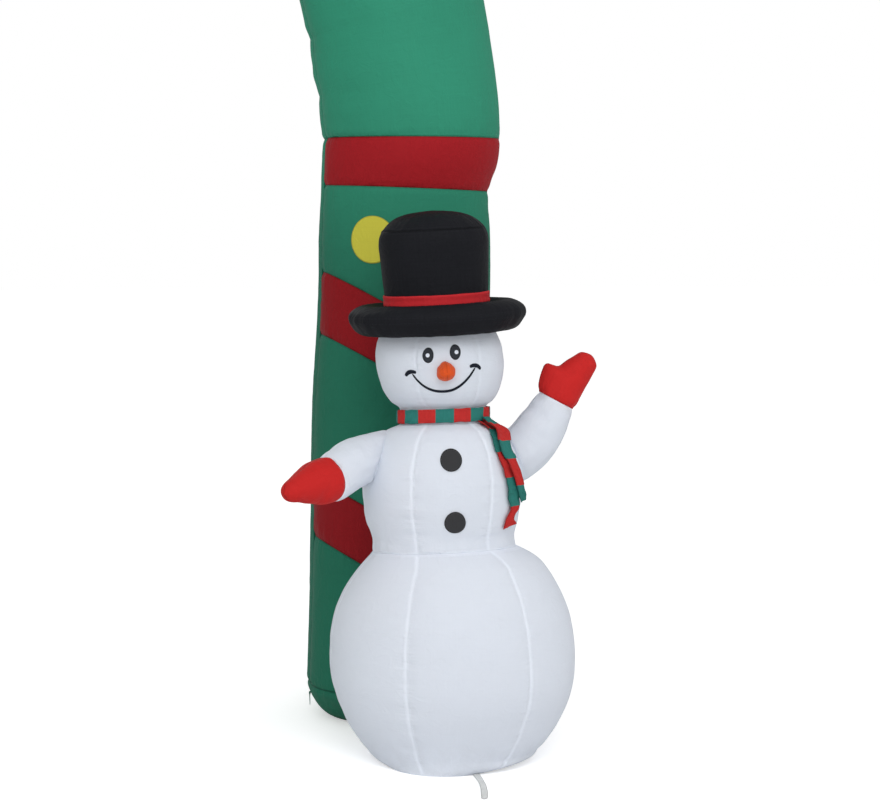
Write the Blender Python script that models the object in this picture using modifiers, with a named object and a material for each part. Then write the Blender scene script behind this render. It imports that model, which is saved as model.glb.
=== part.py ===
"""Inflatable festive archway with a waving snowman sewn in front of its right leg.

Metres, +Z up. Every piece hangs on an empty that stands at the foot of the archway's middle plane:
its X runs across the archway, its -Y faces the viewer and its Z = 0 is the ground.
"""

import math

import bmesh
import bpy
import numpy as np

# ---------------------------------------------------------------- driving dimensions, in metres

GAP = 0.0003                # what two sewn pieces keep between them
ARCH_AT = (-0.0530, 0.3300, 0.0)     # the archway's middle, seen from the middle of the whole part's footprint

ROUND_RADIUS = 1.0566       # the round top's middle line, about a point in the archway's middle plane
ROUND_Z = 1.4703            # height of that point
TOP_TUBE = 0.2145           # radius of the air tube round the top
SIDE_SEAM_DRAW = 0.03       # how far the side seams are drawn in, as a share of the tube's radius
SIDE_SEAM_REACH = math.radians(11)
HALF_STEPS = 14             # faces round half a tube
RING_STEP = 0.055           # about how far apart the leg's rings are
CREASES = 16                # buckle folds on the inner side of the round top
FIRST_CREASE = math.radians(18.5)
CREASE_DEPTH = 0.009
CREASE_SHOULDER = 0.28      # how far beside a fold its shoulders lie, as a share of the folds' pitch
SHOULDER_DEPTH = 0.12       # how deep a shoulder lies, as a share of the fold
SEAM_PINCH = 0.0032         # how far a cross seam is drawn in
SEAM_REACH = 0.014          # how far from a cross seam the cloth is back at its full girth

# the leg's centre line and girth
LEG_COLUMNS = ("height", "centre", "radius")
LEG_ROWS = (
    (0.080, 1.0290, 0.2060),
    (0.150, 1.0310, 0.2068),
    (0.270, 1.0350, 0.2068),
    (0.510, 1.0410, 0.2072),
    (0.640, 1.0410, 0.2074),
    (0.755, 1.0440, 0.2066),
    (0.900, 1.0540, 0.2068),
    (1.020, 1.0600, 0.2068),
    (1.150, 1.0600, 0.2058),
    (1.265, 1.0615, 0.2020),
    (1.330, 1.0720, 0.2110),
    (1.383, 1.0775, 0.2130),
)

# the tube between the band and the round top: its middle line, its lean and how deep a buckle fold is there
SHOULDER_COLUMNS = ("height", "centre", "lean", "crease")
SHOULDER_ROWS = (
    (1.425, 1.0735, 4.5, 0.0),
    (1.470, 1.0688, 6.5, 0.12),
    (1.510, 1.0635, 8.0, 1.0),
    (1.550, 1.0575, 8.5, 0.12),
    (1.612, 1.0480, 9.3, 0.12),
    (1.654, 1.0405, 10.8, 1.0),
)

# the leg's front panel, bottom to top: each cross seam's height at the middle and its slope
SLANT = -0.56
FRONT_SEAMS = (
    (0.080, 0.0),
    (0.327, SLANT),
    (0.466, SLANT),
    (0.811, SLANT),
    (0.956, SLANT),
    (1.265, -0.035),
    (1.383, 0.0),
)
FRONT_PIECES = (
    ("front_low", "green"),
    ("stripe_low", "red"),
    ("front_middle", "green"),
    ("stripe_high", "red"),
    ("front_high", "green"),
    ("band", "red"),
)

# the domed piece that closes a leg at the ground: height and share of the leg's girth
DOME_ROWS = ((0.080, 1.0), (0.064, 0.988), (0.044, 0.948), (0.026, 0.890), (0.011, 0.808), (0.002, 0.715), (0.0, 0.650))

DOT_RADIUS = 0.055
DOT_HEIGHT = 1.146
DOT_TURN = math.radians(-31.5)
PATCH_THICK = 0.0018
PATCH_OFF = 0.0006          # room between a patch and the faceted cloth under it
PATCH_RINGS = (0.34, 0.7, 1.0)
PATCH_STEPS = 24

# the snowman, in the archway's frame
FIGURE_Y = -0.4666
FIGURE_TURN = math.radians(-3.5)   # which way it faces, from -Y towards +X
GORES = 6
FIRST_GORE_SEAM = math.radians(30) # past the way it faces
GORE_STEPS = 4                     # faces across each gore
GORE_DRAW = 0.016                  # how far a gore seam is drawn in, as a share of the radius
LEG_FRONT = -0.2068                # the leg's foremost line, which the ball's back presses flat against

FIGURE_COLUMNS = ("height", "radius", "centre", "forward")
BALL_ROWS = (
    (0.0000, 0.1250, 1.0360, 0.082),
    (0.0070, 0.1580, 1.0560, 0.050),
    (0.0300, 0.1900, 1.0690, 0.018),
    (0.0590, 0.2125, 1.0730, 0.005),
    (0.0990, 0.2350, 1.0735, 0.0),
    (0.1390, 0.2505, 1.0735, 0.0),
    (0.1790, 0.2610, 1.0740, 0.0),
    (0.2200, 0.2655, 1.0745, 0.0),
    (0.2600, 0.2655, 1.0745, 0.0),
    (0.2980, 0.2610, 1.0745, 0.0),
    (0.3380, 0.2515, 1.0745, 0.0),
    (0.3780, 0.2360, 1.0745, 0.0),
    (0.4080, 0.2180, 1.0740, 0.0),
    (0.4310, 0.2020, 1.0745, 0.0),
    (0.4460, 0.1860, 1.0710, 0.0),
    (0.4545, 0.1590, 1.0610, 0.0),
)
TORSO_ROWS = (
    (0.4548, 0.1590, 1.0610, 0.0),
    (0.4810, 0.1575, 1.0590, 0.0),
    (0.5210, 0.1640, 1.0575, 0.0),
    (0.5480, 0.1685, 1.0575, 0.0),
    (0.5880, 0.1730, 1.0575, 0.0),
    (0.6250, 0.1745, 1.0575, 0.0),
    (0.6600, 0.1710, 1.0580, 0.0),
    (0.6950, 0.1580, 1.0585, 0.0),
    (0.7200, 0.1390, 1.0590, 0.0),
    (0.7350, 0.1180, 1.0597, 0.0),
    (0.7430, 0.0995, 1.0600, 0.0),
    (0.7625, 0.0995, 1.0600, 0.0),
)
HEAD_ROWS = (
    (0.7628, 0.0995, 1.0600, 0.0),
    (0.7845, 0.0995, 1.0590, 0.0),
    (0.7910, 0.1080, 1.0570, 0.0),
    (0.8020, 0.1165, 1.0550, 0.0),
    (0.8170, 0.1250, 1.0530, 0.0),
    (0.8360, 0.1315, 1.0510, 0.0),
    (0.8580, 0.1360, 1.0490, 0.0),
    (0.8800, 0.1390, 1.0480, 0.0),
    (0.9000, 0.1385, 1.0475, 0.0),
    (0.9200, 0.1340, 1.0470, 0.0),
    (0.9400, 0.1275, 1.0470, 0.0),
    (0.9686, 0.1175, 1.0465, 0.0),
)

# the scarf's ring round the neck
SCARF_IN = 0.1003
SCARF_THICK = 0.0030
SCARF_EDGE = 0.8            # how thick the ring's edges are, as a share of its middle
SCARF_LOW = 0.7475
SCARF_HIGH = 0.7790
SCARF_SLOPE = 0.035

# the hat, turned on its own leaning axis: radius and height above the brim's middle
HAT_AT = (1.0460, FIGURE_Y, 0.980)
HAT_LEAN = math.radians(-3.0)
HAT_STEPS = 32
BRIM_PROFILE = (
    (0.0, -0.0110), (0.1200, -0.0110), (0.1330, -0.0240), (0.1480, -0.0320), (0.1640, -0.0335), (0.1790, -0.0270),
    (0.1905, -0.0140), (0.1955, 0.0010), (0.1920, 0.0160), (0.1810, 0.0270), (0.1640, 0.0330), (0.1450, 0.0325),
    (0.1300, 0.0290), (0.1185, 0.0260), (0.0, 0.0260),
)
CROWN_PROFILE = (
    (0.0, 0.0263), (0.1142, 0.0263), (0.1142, 0.0495), (0.1152, 0.0600), (0.1172, 0.1000), (0.1178, 0.1400),
    (0.1165, 0.1750), (0.1135, 0.1934), (0.0, 0.1934),
)
TOP_PROFILE = (
    (0.0, 0.1937), (0.1132, 0.1937), (0.1030, 0.2065), (0.0850, 0.2195), (0.0600, 0.2280), (0.0300, 0.2325), (0.0, 0.2340),
)
RIBBON_PROFILE = ((0.1146, 0.0266), (0.1166, 0.0266), (0.1166, 0.0492), (0.1146, 0.0492))

# each button's name, height, turn and radius
BUTTONS = (
    ("button_high", 0.6797, math.radians(-5.2), 0.0236),
    ("button_low", 0.5451, math.radians(-2.4), 0.0234),
)

NOSE_HEIGHT = 0.8690
NOSE_TURN = math.radians(-5.2)
NOSE_OUT = 0.1392
NOSE_PROFILE = (
    (0.0, 0.0), (0.0165, 0.0), (0.0190, 0.0050), (0.0180, 0.0140), (0.0145, 0.0250), (0.0090, 0.0350), (0.0035, 0.0405), (0.0, 0.0412),
)

# arms and mittens: points of the middle line, with the half width seen from the front and the half depth
LIMB_COLUMNS = ("x", "y", "z", "wide", "deep")
LIMB_STEPS = 16
ARM_LEFT = (
    (1.0000, -0.471, 0.6700, 0.0450, 0.0450),
    (0.9350, -0.474, 0.6780, 0.0520, 0.0520),
    (0.8950, -0.487, 0.6750, 0.0540, 0.0540),
    (0.8520, -0.515, 0.6640, 0.0545, 0.0545),
    (0.8170, -0.545, 0.6490, 0.0525, 0.0525),
    (0.7870, -0.571, 0.6360, 0.0500, 0.0500),
)
MITTEN_LEFT = (
    (0.7870, -0.571, 0.6360, 0.0500, 0.0500),
    (0.7740, -0.582, 0.6315, 0.0530, 0.0520),
    (0.7520, -0.600, 0.6265, 0.0530, 0.0510),
    (0.7300, -0.620, 0.6210, 0.0450, 0.0430),
    (0.7070, -0.640, 0.6180, 0.0340, 0.0330),
    (0.6860, -0.655, 0.6180, 0.0220, 0.0210),
    (0.6780, -0.662, 0.6180, 0.0100, 0.0100),
)
ARM_RIGHT = (
    (1.1150, -0.471, 0.6500, 0.0520, 0.0520),
    (1.1750, -0.472, 0.6580, 0.0545, 0.0545),
    (1.2150, -0.473, 0.6700, 0.0555, 0.0550),
    (1.2430, -0.474, 0.6870, 0.0560, 0.0550),
    (1.2620, -0.475, 0.7110, 0.0560, 0.0540),
    (1.2790, -0.476, 0.7420, 0.0530, 0.0520),
    (1.2950, -0.477, 0.7720, 0.0475, 0.0470),
    (1.3080, -0.478, 0.7960, 0.0427, 0.0430),
)
MITTEN_RIGHT = (
    (1.3080, -0.478, 0.7960, 0.0427, 0.0430),
    (1.3170, -0.479, 0.8110, 0.0435, 0.0430),
    (1.3300, -0.480, 0.8300, 0.0425, 0.0400),
    (1.3480, -0.481, 0.8520, 0.0375, 0.0350),
    (1.3650, -0.482, 0.8710, 0.0310, 0.0270),
    (1.3780, -0.483, 0.8850, 0.0225, 0.0170),
    (1.3830, -0.483, 0.8900, 0.0130, 0.0090),
)
THUMB_RIGHT = (
    (1.3160, -0.480, 0.8180, 0.0200, 0.0220),
    (1.3030, -0.482, 0.8430, 0.0185, 0.0200),
    (1.2945, -0.484, 0.8640, 0.0140, 0.0150),
    (1.2915, -0.485, 0.8760, 0.0070, 0.0080),
)

# the scarf's two hanging ends, each a row for every gather: how far round the body its middle lies, how far out
# from the body, its half width and which way it faces
TAIL_COLUMNS = ("height", "turn", "out", "half_width", "facing")
TAIL_THICK = 0.0022
TAIL_CLEAR = 0.0011
TAIL_STEP = 0.0095
TAIL_LONG = (
    (0.7447, 37.0, 0.0020, 0.0185, 33.0),
    (0.7300, 38.0, 0.0050, 0.0190, 27.0),
    (0.7100, 39.0, 0.0105, 0.0190, 20.0),
    (0.6880, 40.5, 0.0125, 0.0205, 14.0),
    (0.6660, 43.0, 0.0120, 0.0200, 12.0),
    (0.6430, 45.5, 0.0130, 0.0190, 14.0),
    (0.6200, 48.5, 0.0120, 0.0165, 10.0),
    (0.5970, 50.0, 0.0110, 0.0160, 16.0),
    (0.5740, 50.0, 0.0095, 0.0145, 10.0),
    (0.5590, 48.5, 0.0085, 0.0140, 14.0),
    (0.5430, 48.0, 0.0080, 0.0150, 10.0),
    (0.5280, 46.0, 0.0085, 0.0160, 12.0),
)
TAIL_SHORT = (
    (0.7440, 58.0, 0.0015, 0.0130, 56.0),
    (0.7290, 57.0, 0.0015, 0.0165, 54.0),
    (0.7080, 56.0, 0.0020, 0.0190, 52.0),
    (0.6860, 57.0, 0.0020, 0.0200, 52.0),
    (0.6630, 59.0, 0.0025, 0.0205, 50.0),
    (0.6400, 61.5, 0.0030, 0.0200, 50.0),
    (0.6170, 64.0, 0.0035, 0.0180, 48.0),
    (0.5960, 66.0, 0.0040, 0.0165, 48.0),
    (0.5790, 67.0, 0.0050, 0.0150, 46.0),
)
TAIL_ACROSS = 5
TAIL_RUFFLE = 0.0022
TAIL_LONG_ROOM = 0.009      # extra room between the body and the long end's right edge
TAIL_LONG_POINT = (-0.006, 0.006)     # how far the foot's left and right corners lie above its middle
TAIL_SHORT_POINT = (0.003, -0.006)

# the flat webbing loop at the ball's foot, lying on the ground, and the small tab on the leg's foot seam
STRAP_THICK = 0.0022
STRAP_WIDE = 0.0150
STRAP_FROM = (1.0930, -0.6400)     # a little way inside the ball, which is cut out of it
STRAP_TO = (1.0640, -0.8700)
STRAP_BEND = 0.008
TAB_THICK = 0.0020
TAB_TOP = 0.0600
TAB_OUTLINE = (
    (0.0, 0.0), (-0.0055, -0.0035), (-0.0035, -0.0085), (-0.0030, -0.0330), (-0.0010, -0.0330), (-0.0008, -0.0095), (0.0, -0.0090),
)

COLOURS = {                 # sRGB, 0 to 255
    "green": (50, 132, 104), "red": (150, 34, 38), "yellow": (200, 197, 78), "white": (222, 228, 238), "black": (30, 32, 38),
    "ribbon": (165, 38, 44), "mitten": (200, 36, 42), "scarf": (46, 118, 104), "charcoal": (52, 54, 60),
    "orange": (224, 98, 44), "webbing": (232, 234, 232),
}

# ---------------------------------------------------------------- helpers


def linear(channel):
    """One sRGB channel, 0 to 255, as linear light."""
    share = channel / 255.0
    return share / 12.92 if share <= 0.04045 else ((share + 0.055) / 1.055) ** 2.4


def finish(slot, roughness=0.55):
    """One cloth material of the named colour."""
    name = "cloth_" + slot
    found = bpy.data.materials.get(name)
    if found:
        return found
    material = bpy.data.materials.new(name)
    material.use_nodes = True
    shader = material.node_tree.nodes["Principled BSDF"]
    shader.inputs["Base Color"].default_value = (*[linear(c) for c in COLOURS[slot]], 1.0)
    shader.inputs["Roughness"].default_value = roughness
    shader.inputs["Metallic"].default_value = 0.0
    return material


def add_object(name, data, slot, group):
    """Put an object with one material into a collection, standing on the archway's empty."""
    piece = bpy.data.objects.new(name, data)
    data.materials.append(finish(slot))
    group.objects.link(piece)
    piece.parent = place
    return piece


def column(rows, columns, name):
    """One named column of a table."""
    return np.array([row[columns.index(name)] for row in rows])


def loft(name, rings, slot, group=None):
    """A closed solid through a stack of rings with equal point counts, capped at both ends."""
    bm = bmesh.new()
    loops = [[bm.verts.new(point) for point in ring] for ring in rings]
    count = len(loops[0])
    for low, high in zip(loops, loops[1:]):
        for i in range(count):
            j = (i + 1) % count
            bm.faces.new((low[i], low[j], high[j], high[i]))
    bm.faces.new(loops[0][::-1])
    bm.faces.new(loops[-1])
    bmesh.ops.recalc_face_normals(bm, faces=bm.faces[:])
    mesh = bpy.data.meshes.new(name)
    bm.to_mesh(mesh)
    bm.free()
    mesh.shade_smooth()
    mesh.set_sharp_from_angle(angle=math.radians(50))
    return add_object(name, mesh, slot, group or parts)


def turned(name, profile, slot, at, lean):
    """A turned solid: a profile of radius and height, swept round its own upright axis, then set down leaning."""
    mesh = bpy.data.meshes.new(name)
    points = [(radius, 0.0, height) for radius, height in reversed(profile)]
    closed = profile[0][0] > 0.0
    edges = [(i, i + 1) for i in range(len(points) - 1)] + ([(len(points) - 1, 0)] if closed else [])
    mesh.from_pydata(points, edges, [])
    piece = add_object(name, mesh, slot, parts)
    screw = piece.modifiers.new("turn", "SCREW")
    screw.steps = screw.render_steps = HAT_STEPS
    screw.use_merge_vertices = True
    screw.merge_threshold = 0.0001
    screw.use_smooth_shade = True
    piece.location = at
    piece.rotation_euler = (0.0, lean, 0.0)
    return piece


# ---------------------------------------------------------------- the archway's tube


def side_draw(angle):
    """The share of the girth left at an angle round the tube, 0 and pi being the side seams."""
    off = np.minimum(np.abs(angle), np.abs(math.pi - np.abs(angle)))
    return 1.0 - SIDE_SEAM_DRAW * np.exp(-((off / SIDE_SEAM_REACH) ** 2))


def leg_centre(height):
    return np.interp(height, column(LEG_ROWS, LEG_COLUMNS, "height"), column(LEG_ROWS, LEG_COLUMNS, "centre"))


def leg_radius(height):
    return np.interp(height, column(LEG_ROWS, LEG_COLUMNS, "height"), column(LEG_ROWS, LEG_COLUMNS, "radius"))


def leg_ring(height, slope, pinch, facing, mirror):
    """A half ring in a sloping plane, facing -1 for the viewer's side; mirror is -1 on the left leg.

    The points keep to the plane through the middle line at the given height, so two neighbours meet flat.
    """
    angle = np.linspace(0.0, math.pi, HALF_STEPS + 1)
    middle = leg_centre(height)
    z = np.full_like(angle, height)
    for _ in range(4):
        radius = leg_radius(z) * side_draw(angle) - pinch * np.sin(angle)
        x = leg_centre(z) + radius * np.cos(angle)
        z = height + slope * (x - middle)
    y = facing * np.maximum(radius * np.sin(angle), GAP / 2)
    return np.column_stack((x * mirror, y, z))


def front_rings(low, high, mirror):
    """The rings of one front piece between two cross seams, drawn in at both."""
    low_height, low_slope = low
    high_height, high_slope = high
    bottom, top = low_height + GAP / 2, high_height - GAP / 2
    reach = SEAM_REACH / (top - bottom)
    inner = np.linspace(reach, 1.0 - reach, max(2, round((top - bottom) / RING_STEP)))
    shares = np.concatenate(((0.0,), inner, (1.0,)))
    rings = []
    for share in shares:
        height = bottom + share * (top - bottom)
        slope = low_slope + share * (high_slope - low_slope)
        pinch = SEAM_PINCH if share in (0.0, 1.0) else 0.0
        rings.append(leg_ring(height, slope, pinch, -1.0, mirror))
    return rings


def top_rings(facing):
    """The round top's half rings, from the right leg over to the left one, with the inner side's buckle folds."""
    angle = np.linspace(0.0, math.pi, HALF_STEPS + 1)
    inner_side = np.clip(-np.cos(angle), 0.0, 1.0) ** 1.5
    pitch = (math.pi - 2 * FIRST_CREASE) / (CREASES - 1)
    stations = [(centre, height, math.radians(lean), depth) for height, centre, lean, depth in SHOULDER_ROWS]
    for crease in range(CREASES):
        at = FIRST_CREASE + crease * pitch
        beside = CREASE_SHOULDER * pitch
        for turn, depth in ((at - beside, SHOULDER_DEPTH), (at, 1.0), (at + beside, SHOULDER_DEPTH)):
            stations.append((ROUND_RADIUS * math.cos(turn), ROUND_Z + ROUND_RADIUS * math.sin(turn), turn, depth))
    stations += [(-x, z, math.pi - turn, depth) for x, z, turn, depth in stations[:len(SHOULDER_ROWS)][::-1]]
    rings = []
    for x, z, turn, depth in stations:
        radius = TOP_TUBE * side_draw(angle) - CREASE_DEPTH * depth * inner_side
        out = radius * np.cos(angle)
        y = facing * np.maximum(radius * np.sin(angle), GAP / 2)
        rings.append(np.column_stack((x + out * math.cos(turn), y, z + out * math.sin(turn))))
    band_top = FRONT_SEAMS[-1][0] + GAP / 2
    pinch = SEAM_PINCH if facing < 0 else 0.0
    right = leg_ring(band_top, 0.0, pinch, facing, 1.0)
    left = leg_ring(band_top, 0.0, pinch, facing, -1.0)
    return [right] + rings + [left]


def dome_rings(mirror):
    """The full rings of the ground piece, shrinking to the flat that stands on the ground."""
    angle = np.linspace(0.0, 2 * math.pi, 2 * HALF_STEPS, endpoint=False)
    seam_height = DOME_ROWS[0][0]
    middle = leg_centre(seam_height)
    rings = []
    for height, share in DOME_ROWS:
        z = min(height, seam_height - GAP / 2)
        folded = np.where(angle > math.pi, 2 * math.pi - angle, angle)
        radius = leg_radius(seam_height) * side_draw(folded) * share
        ring = np.column_stack(((middle + radius * np.cos(angle)) * mirror, radius * np.sin(angle), np.full_like(angle, z)))
        rings.append(ring)
    return rings


def patch(name, surface, radius, slot):
    """A thin round patch sewn on a curved surface: surface(across, up, out) gives its points."""
    turns = np.linspace(0.0, 2 * math.pi, PATCH_STEPS, endpoint=False)
    under = [(share, PATCH_OFF) for share in PATCH_RINGS]
    over = [(share, PATCH_OFF + PATCH_THICK) for share in reversed(PATCH_RINGS)]
    rings = [surface(radius * share * np.cos(turns), radius * share * np.sin(turns), lift) for share, lift in under + over]
    return loft(name, rings, slot)


def leg_surface(mirror):
    """Points on the leg's front, across and up from the dot's middle."""
    def surface(across, up, out):
        z = DOT_HEIGHT + up
        turn = DOT_TURN + across / leg_radius(DOT_HEIGHT)
        radius = leg_radius(z) + out
        x = leg_centre(z) + radius * np.sin(turn)
        return np.column_stack((x * mirror, -radius * np.cos(turn), z))
    return surface


def build_archway():
    for side, mirror in (("right", 1.0), ("left", -1.0)):
        loft("foot_" + side, dome_rings(mirror), "green")
        seam_pairs = zip(FRONT_SEAMS, FRONT_SEAMS[1:])
        for (name, slot), (low, high) in zip(FRONT_PIECES, seam_pairs):
            loft(name + "_" + side, front_rings(low, high, mirror), slot)
        bottom, top = FRONT_SEAMS[0][0] + GAP / 2, FRONT_SEAMS[-1][0] - GAP / 2
        heights = [bottom] + [row[0] for row in LEG_ROWS[1:-1]] + [top]
        loft("back_" + side, [leg_ring(height, 0.0, 0.0, 1.0, mirror) for height in heights], "green")
        patch("dot_" + side, leg_surface(mirror), DOT_RADIUS, "yellow")
    loft("top_front", top_rings(-1.0), "green")
    loft("top_back", top_rings(1.0), "green")


# ---------------------------------------------------------------- the snowman


def gored_rings(rows, grow=0.0, back_stop=None, top_slope=0.0):
    """Rings of a body sewn from gores, drawn in along each seam; grow widens it all round.

    The last ring may slope, and nothing reaches further back than back_stop.
    """
    count = GORES * GORE_STEPS
    turn = FIGURE_TURN + FIRST_GORE_SEAM + np.arange(count) * (2 * math.pi / count)
    seam = np.cos((turn - FIGURE_TURN - FIRST_GORE_SEAM) * GORES)
    share = 1.0 - GORE_DRAW * np.clip(seam, 0.0, 1.0)
    rings = []
    for height, radius, centre, forward in rows:
        drawn = radius * share + grow
        x = centre + drawn * np.sin(turn)
        y = FIGURE_Y - forward - drawn * np.cos(turn)
        if back_stop is not None:
            y = np.minimum(y, back_stop)
        z = np.full(count, height)
        if top_slope and height == rows[-1][0]:
            z = height + top_slope * (x - centre)
        rings.append(np.column_stack((x, y, z)))
    return rings


def torso_radius(height):
    return np.interp(height, column(TORSO_ROWS, FIGURE_COLUMNS, "height"), column(TORSO_ROWS, FIGURE_COLUMNS, "radius"))


def torso_centre(height):
    return np.interp(height, column(TORSO_ROWS, FIGURE_COLUMNS, "height"), column(TORSO_ROWS, FIGURE_COLUMNS, "centre"))


def torso_surface(height, turn):
    """Points on the torso's front, across and up from a button's middle."""
    def surface(across, up, out):
        z = height + up
        at = turn + across / torso_radius(height)
        radius = torso_radius(z) + out
        return np.column_stack((torso_centre(z) + radius * np.sin(at), FIGURE_Y - radius * np.cos(at), z))
    return surface


def cuff_direction(arm, mitten):
    """Which way a limb runs through its cuff seam, which its arm and its mitten share."""
    along = np.subtract(mitten[1][:3], arm[-2][:3])
    return along / np.linalg.norm(along)


def limb_rings(rows, start=None, end=None):
    """Rings round a limb's middle line, each square to it; wide lies in the archway's plane, deep towards the viewer.

    start and end are the directions through a cuff seam there, and a start is set GAP beyond the seam.
    """
    points = np.array([row[:3] for row in rows])
    along = np.gradient(points, axis=0)
    if start is not None:
        along[0] = start
    if end is not None:
        along[-1] = end
    along /= np.linalg.norm(along, axis=1)[:, None]
    turn = np.linspace(0.0, 2 * math.pi, LIMB_STEPS, endpoint=False)
    rings = []
    for point, tangent, row in zip(points, along, rows):
        side = np.cross(tangent, (0.0, 1.0, 0.0))
        side /= np.linalg.norm(side)
        deep = np.cross(side, tangent)
        wide_size, deep_size = row[LIMB_COLUMNS.index("wide")], row[LIMB_COLUMNS.index("deep")]
        rings.append(point + np.outer(np.cos(turn) * wide_size, side) + np.outer(np.sin(turn) * deep_size, deep))
    if start is not None:
        rings[0] = rings[0] + along[0] * GAP
    return rings


def cut_by(piece, cutter):
    """Take the cutter's space out of the piece."""
    cut = piece.modifiers.new("fit", "BOOLEAN")
    cut.operation = "DIFFERENCE"
    cut.solver = "EXACT"
    cut.object = cutter


def hide_cutter(cutter):
    cutter.hide_render = True
    cutter.display_type = "WIRE"


def build_arms():
    clearance = loft("torso_clearance", gored_rings(TORSO_ROWS, grow=GAP * 1.2), "white", cutters)
    hide_cutter(clearance)
    cuff_left = cuff_direction(ARM_LEFT, MITTEN_LEFT)
    cuff_right = cuff_direction(ARM_RIGHT, MITTEN_RIGHT)
    for name, rows, cuff in (("arm_left", ARM_LEFT, cuff_left), ("arm_right", ARM_RIGHT, cuff_right)):
        cut_by(loft(name, limb_rings(rows, end=cuff), "white"), clearance)
    loft("mitten_left", limb_rings(MITTEN_LEFT, start=cuff_left), "mitten")
    hand = loft("mitten_right", limb_rings(MITTEN_RIGHT, start=cuff_right), "mitten")
    thumb = loft("thumb", limb_rings(THUMB_RIGHT), "mitten", cutters)
    hide_cutter(thumb)
    join = hand.modifiers.new("thumb", "BOOLEAN")
    join.operation = "UNION"
    join.solver = "EXACT"
    join.object = thumb


def build_scarf_ring():
    count = GORES * GORE_STEPS
    turn = FIGURE_TURN + FIRST_GORE_SEAM + np.arange(count) * (2 * math.pi / count)
    middle = 0.5 * (SCARF_LOW + SCARF_HIGH)
    centre = HEAD_ROWS[0][2]
    section = (
        (SCARF_IN, SCARF_LOW), (SCARF_IN + SCARF_THICK * SCARF_EDGE, SCARF_LOW), (SCARF_IN + SCARF_THICK, middle),
        (SCARF_IN + SCARF_THICK * SCARF_EDGE, SCARF_HIGH), (SCARF_IN, SCARF_HIGH),
    )
    bm = bmesh.new()
    loops = []
    for at in turn:
        x = math.sin(at)
        loops.append([
            bm.verts.new((centre + radius * x, FIGURE_Y - radius * math.cos(at), height + SCARF_SLOPE * radius * x))
            for radius, height in section
        ])
    for i, loop in enumerate(loops):
        following = loops[(i + 1) % count]
        for j in range(len(section)):
            k = (j + 1) % len(section)
            bm.faces.new((loop[j], loop[k], following[k], following[j]))
    bmesh.ops.recalc_face_normals(bm, faces=bm.faces[:])
    mesh = bpy.data.meshes.new("scarf_ring")
    bm.to_mesh(mesh)
    bm.free()
    add_object("scarf_ring", mesh, "scarf", parts)


def off_torso(distance, height, room):
    """Push points, given by their distance from the torso's axis and height, until they have room to its outside.

    The outside is the round of the torso below the neck, which is convex: the largest distance to the lines
    through its rows is the distance to it.
    """
    radius = column(TORSO_ROWS, FIGURE_COLUMNS, "radius")[1:-1]
    level = column(TORSO_ROWS, FIGURE_COLUMNS, "height")[1:-1]
    run, rise = np.diff(radius), np.diff(level)
    length = np.hypot(run, rise)
    out, up = rise / length, -run / length
    lines = (distance[..., None] - radius[:-1]) * out + (height[..., None] - level[:-1]) * up
    nearest = lines.argmax(axis=-1)
    push = np.maximum(room - lines.max(axis=-1), 0.0)
    return distance + push * out[nearest], height + push * up[nearest]


def tail_sheet(rows, outward):
    """The middle surface of a scarf end: rows down the cloth, points across it, clear of the body behind it.

    outward is the extra room to the body at the right edge.
    """
    rough = column(rows, TAIL_COLUMNS, "height")
    count = round((rough[0] - rough[-1]) / TAIL_STEP) + 1
    place_down = np.interp(np.linspace(rough[0], rough[-1], count), rough[::-1], np.arange(len(rows))[::-1])
    table = {name: np.interp(place_down, np.arange(len(rows)), column(rows, TAIL_COLUMNS, name)) for name in TAIL_COLUMNS}
    across = np.linspace(-1.0, 1.0, TAIL_ACROSS)
    z = np.repeat(table["height"][:, None], TAIL_ACROSS, axis=1)
    turn = np.radians(table["turn"])[:, None]
    facing = np.radians(table["facing"])[:, None]
    reach = torso_radius(z) + table["out"][:, None]
    wave = TAIL_RUFFLE * np.cos(place_down * math.pi)[:, None] * np.cos(across * math.pi * 1.5)
    off_x = reach * np.sin(turn) + across * table["half_width"][:, None] * np.cos(facing) + wave * np.sin(facing)
    off_y = -reach * np.cos(turn) + across * table["half_width"][:, None] * np.sin(facing) - wave * np.cos(facing)
    distance = np.hypot(off_x, off_y)
    room = TAIL_CLEAR + TAIL_THICK / 2 + outward * np.clip(across * 0.5 + 0.5, 0.0, 1.0)
    pushed, z = off_torso(distance, z, np.broadcast_to(room, z.shape))
    x = torso_centre(z) + off_x * pushed / distance
    return np.stack((x, FIGURE_Y + off_y * pushed / distance, z), axis=2)


def add_tail(name, rows, outward, points_up):
    """A hanging scarf end: its middle surface with the cloth's thickness, and a cut point at its foot."""
    grid = tail_sheet(rows, outward)
    grid[-1, :, 2] += points_up
    bm = bmesh.new()
    verts = [[bm.verts.new(point) for point in row] for row in grid]
    for i in range(len(verts) - 1):
        for j in range(TAIL_ACROSS - 1):
            bm.faces.new((verts[i][j], verts[i + 1][j], verts[i + 1][j + 1], verts[i][j + 1]))
    mesh = bpy.data.meshes.new(name)
    bm.to_mesh(mesh)
    bm.free()
    piece = add_object(name, mesh, "scarf", parts)
    thick = piece.modifiers.new("cloth", "SOLIDIFY")
    thick.thickness = TAIL_THICK
    thick.offset = 0.0
    thick.use_even_offset = False


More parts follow.
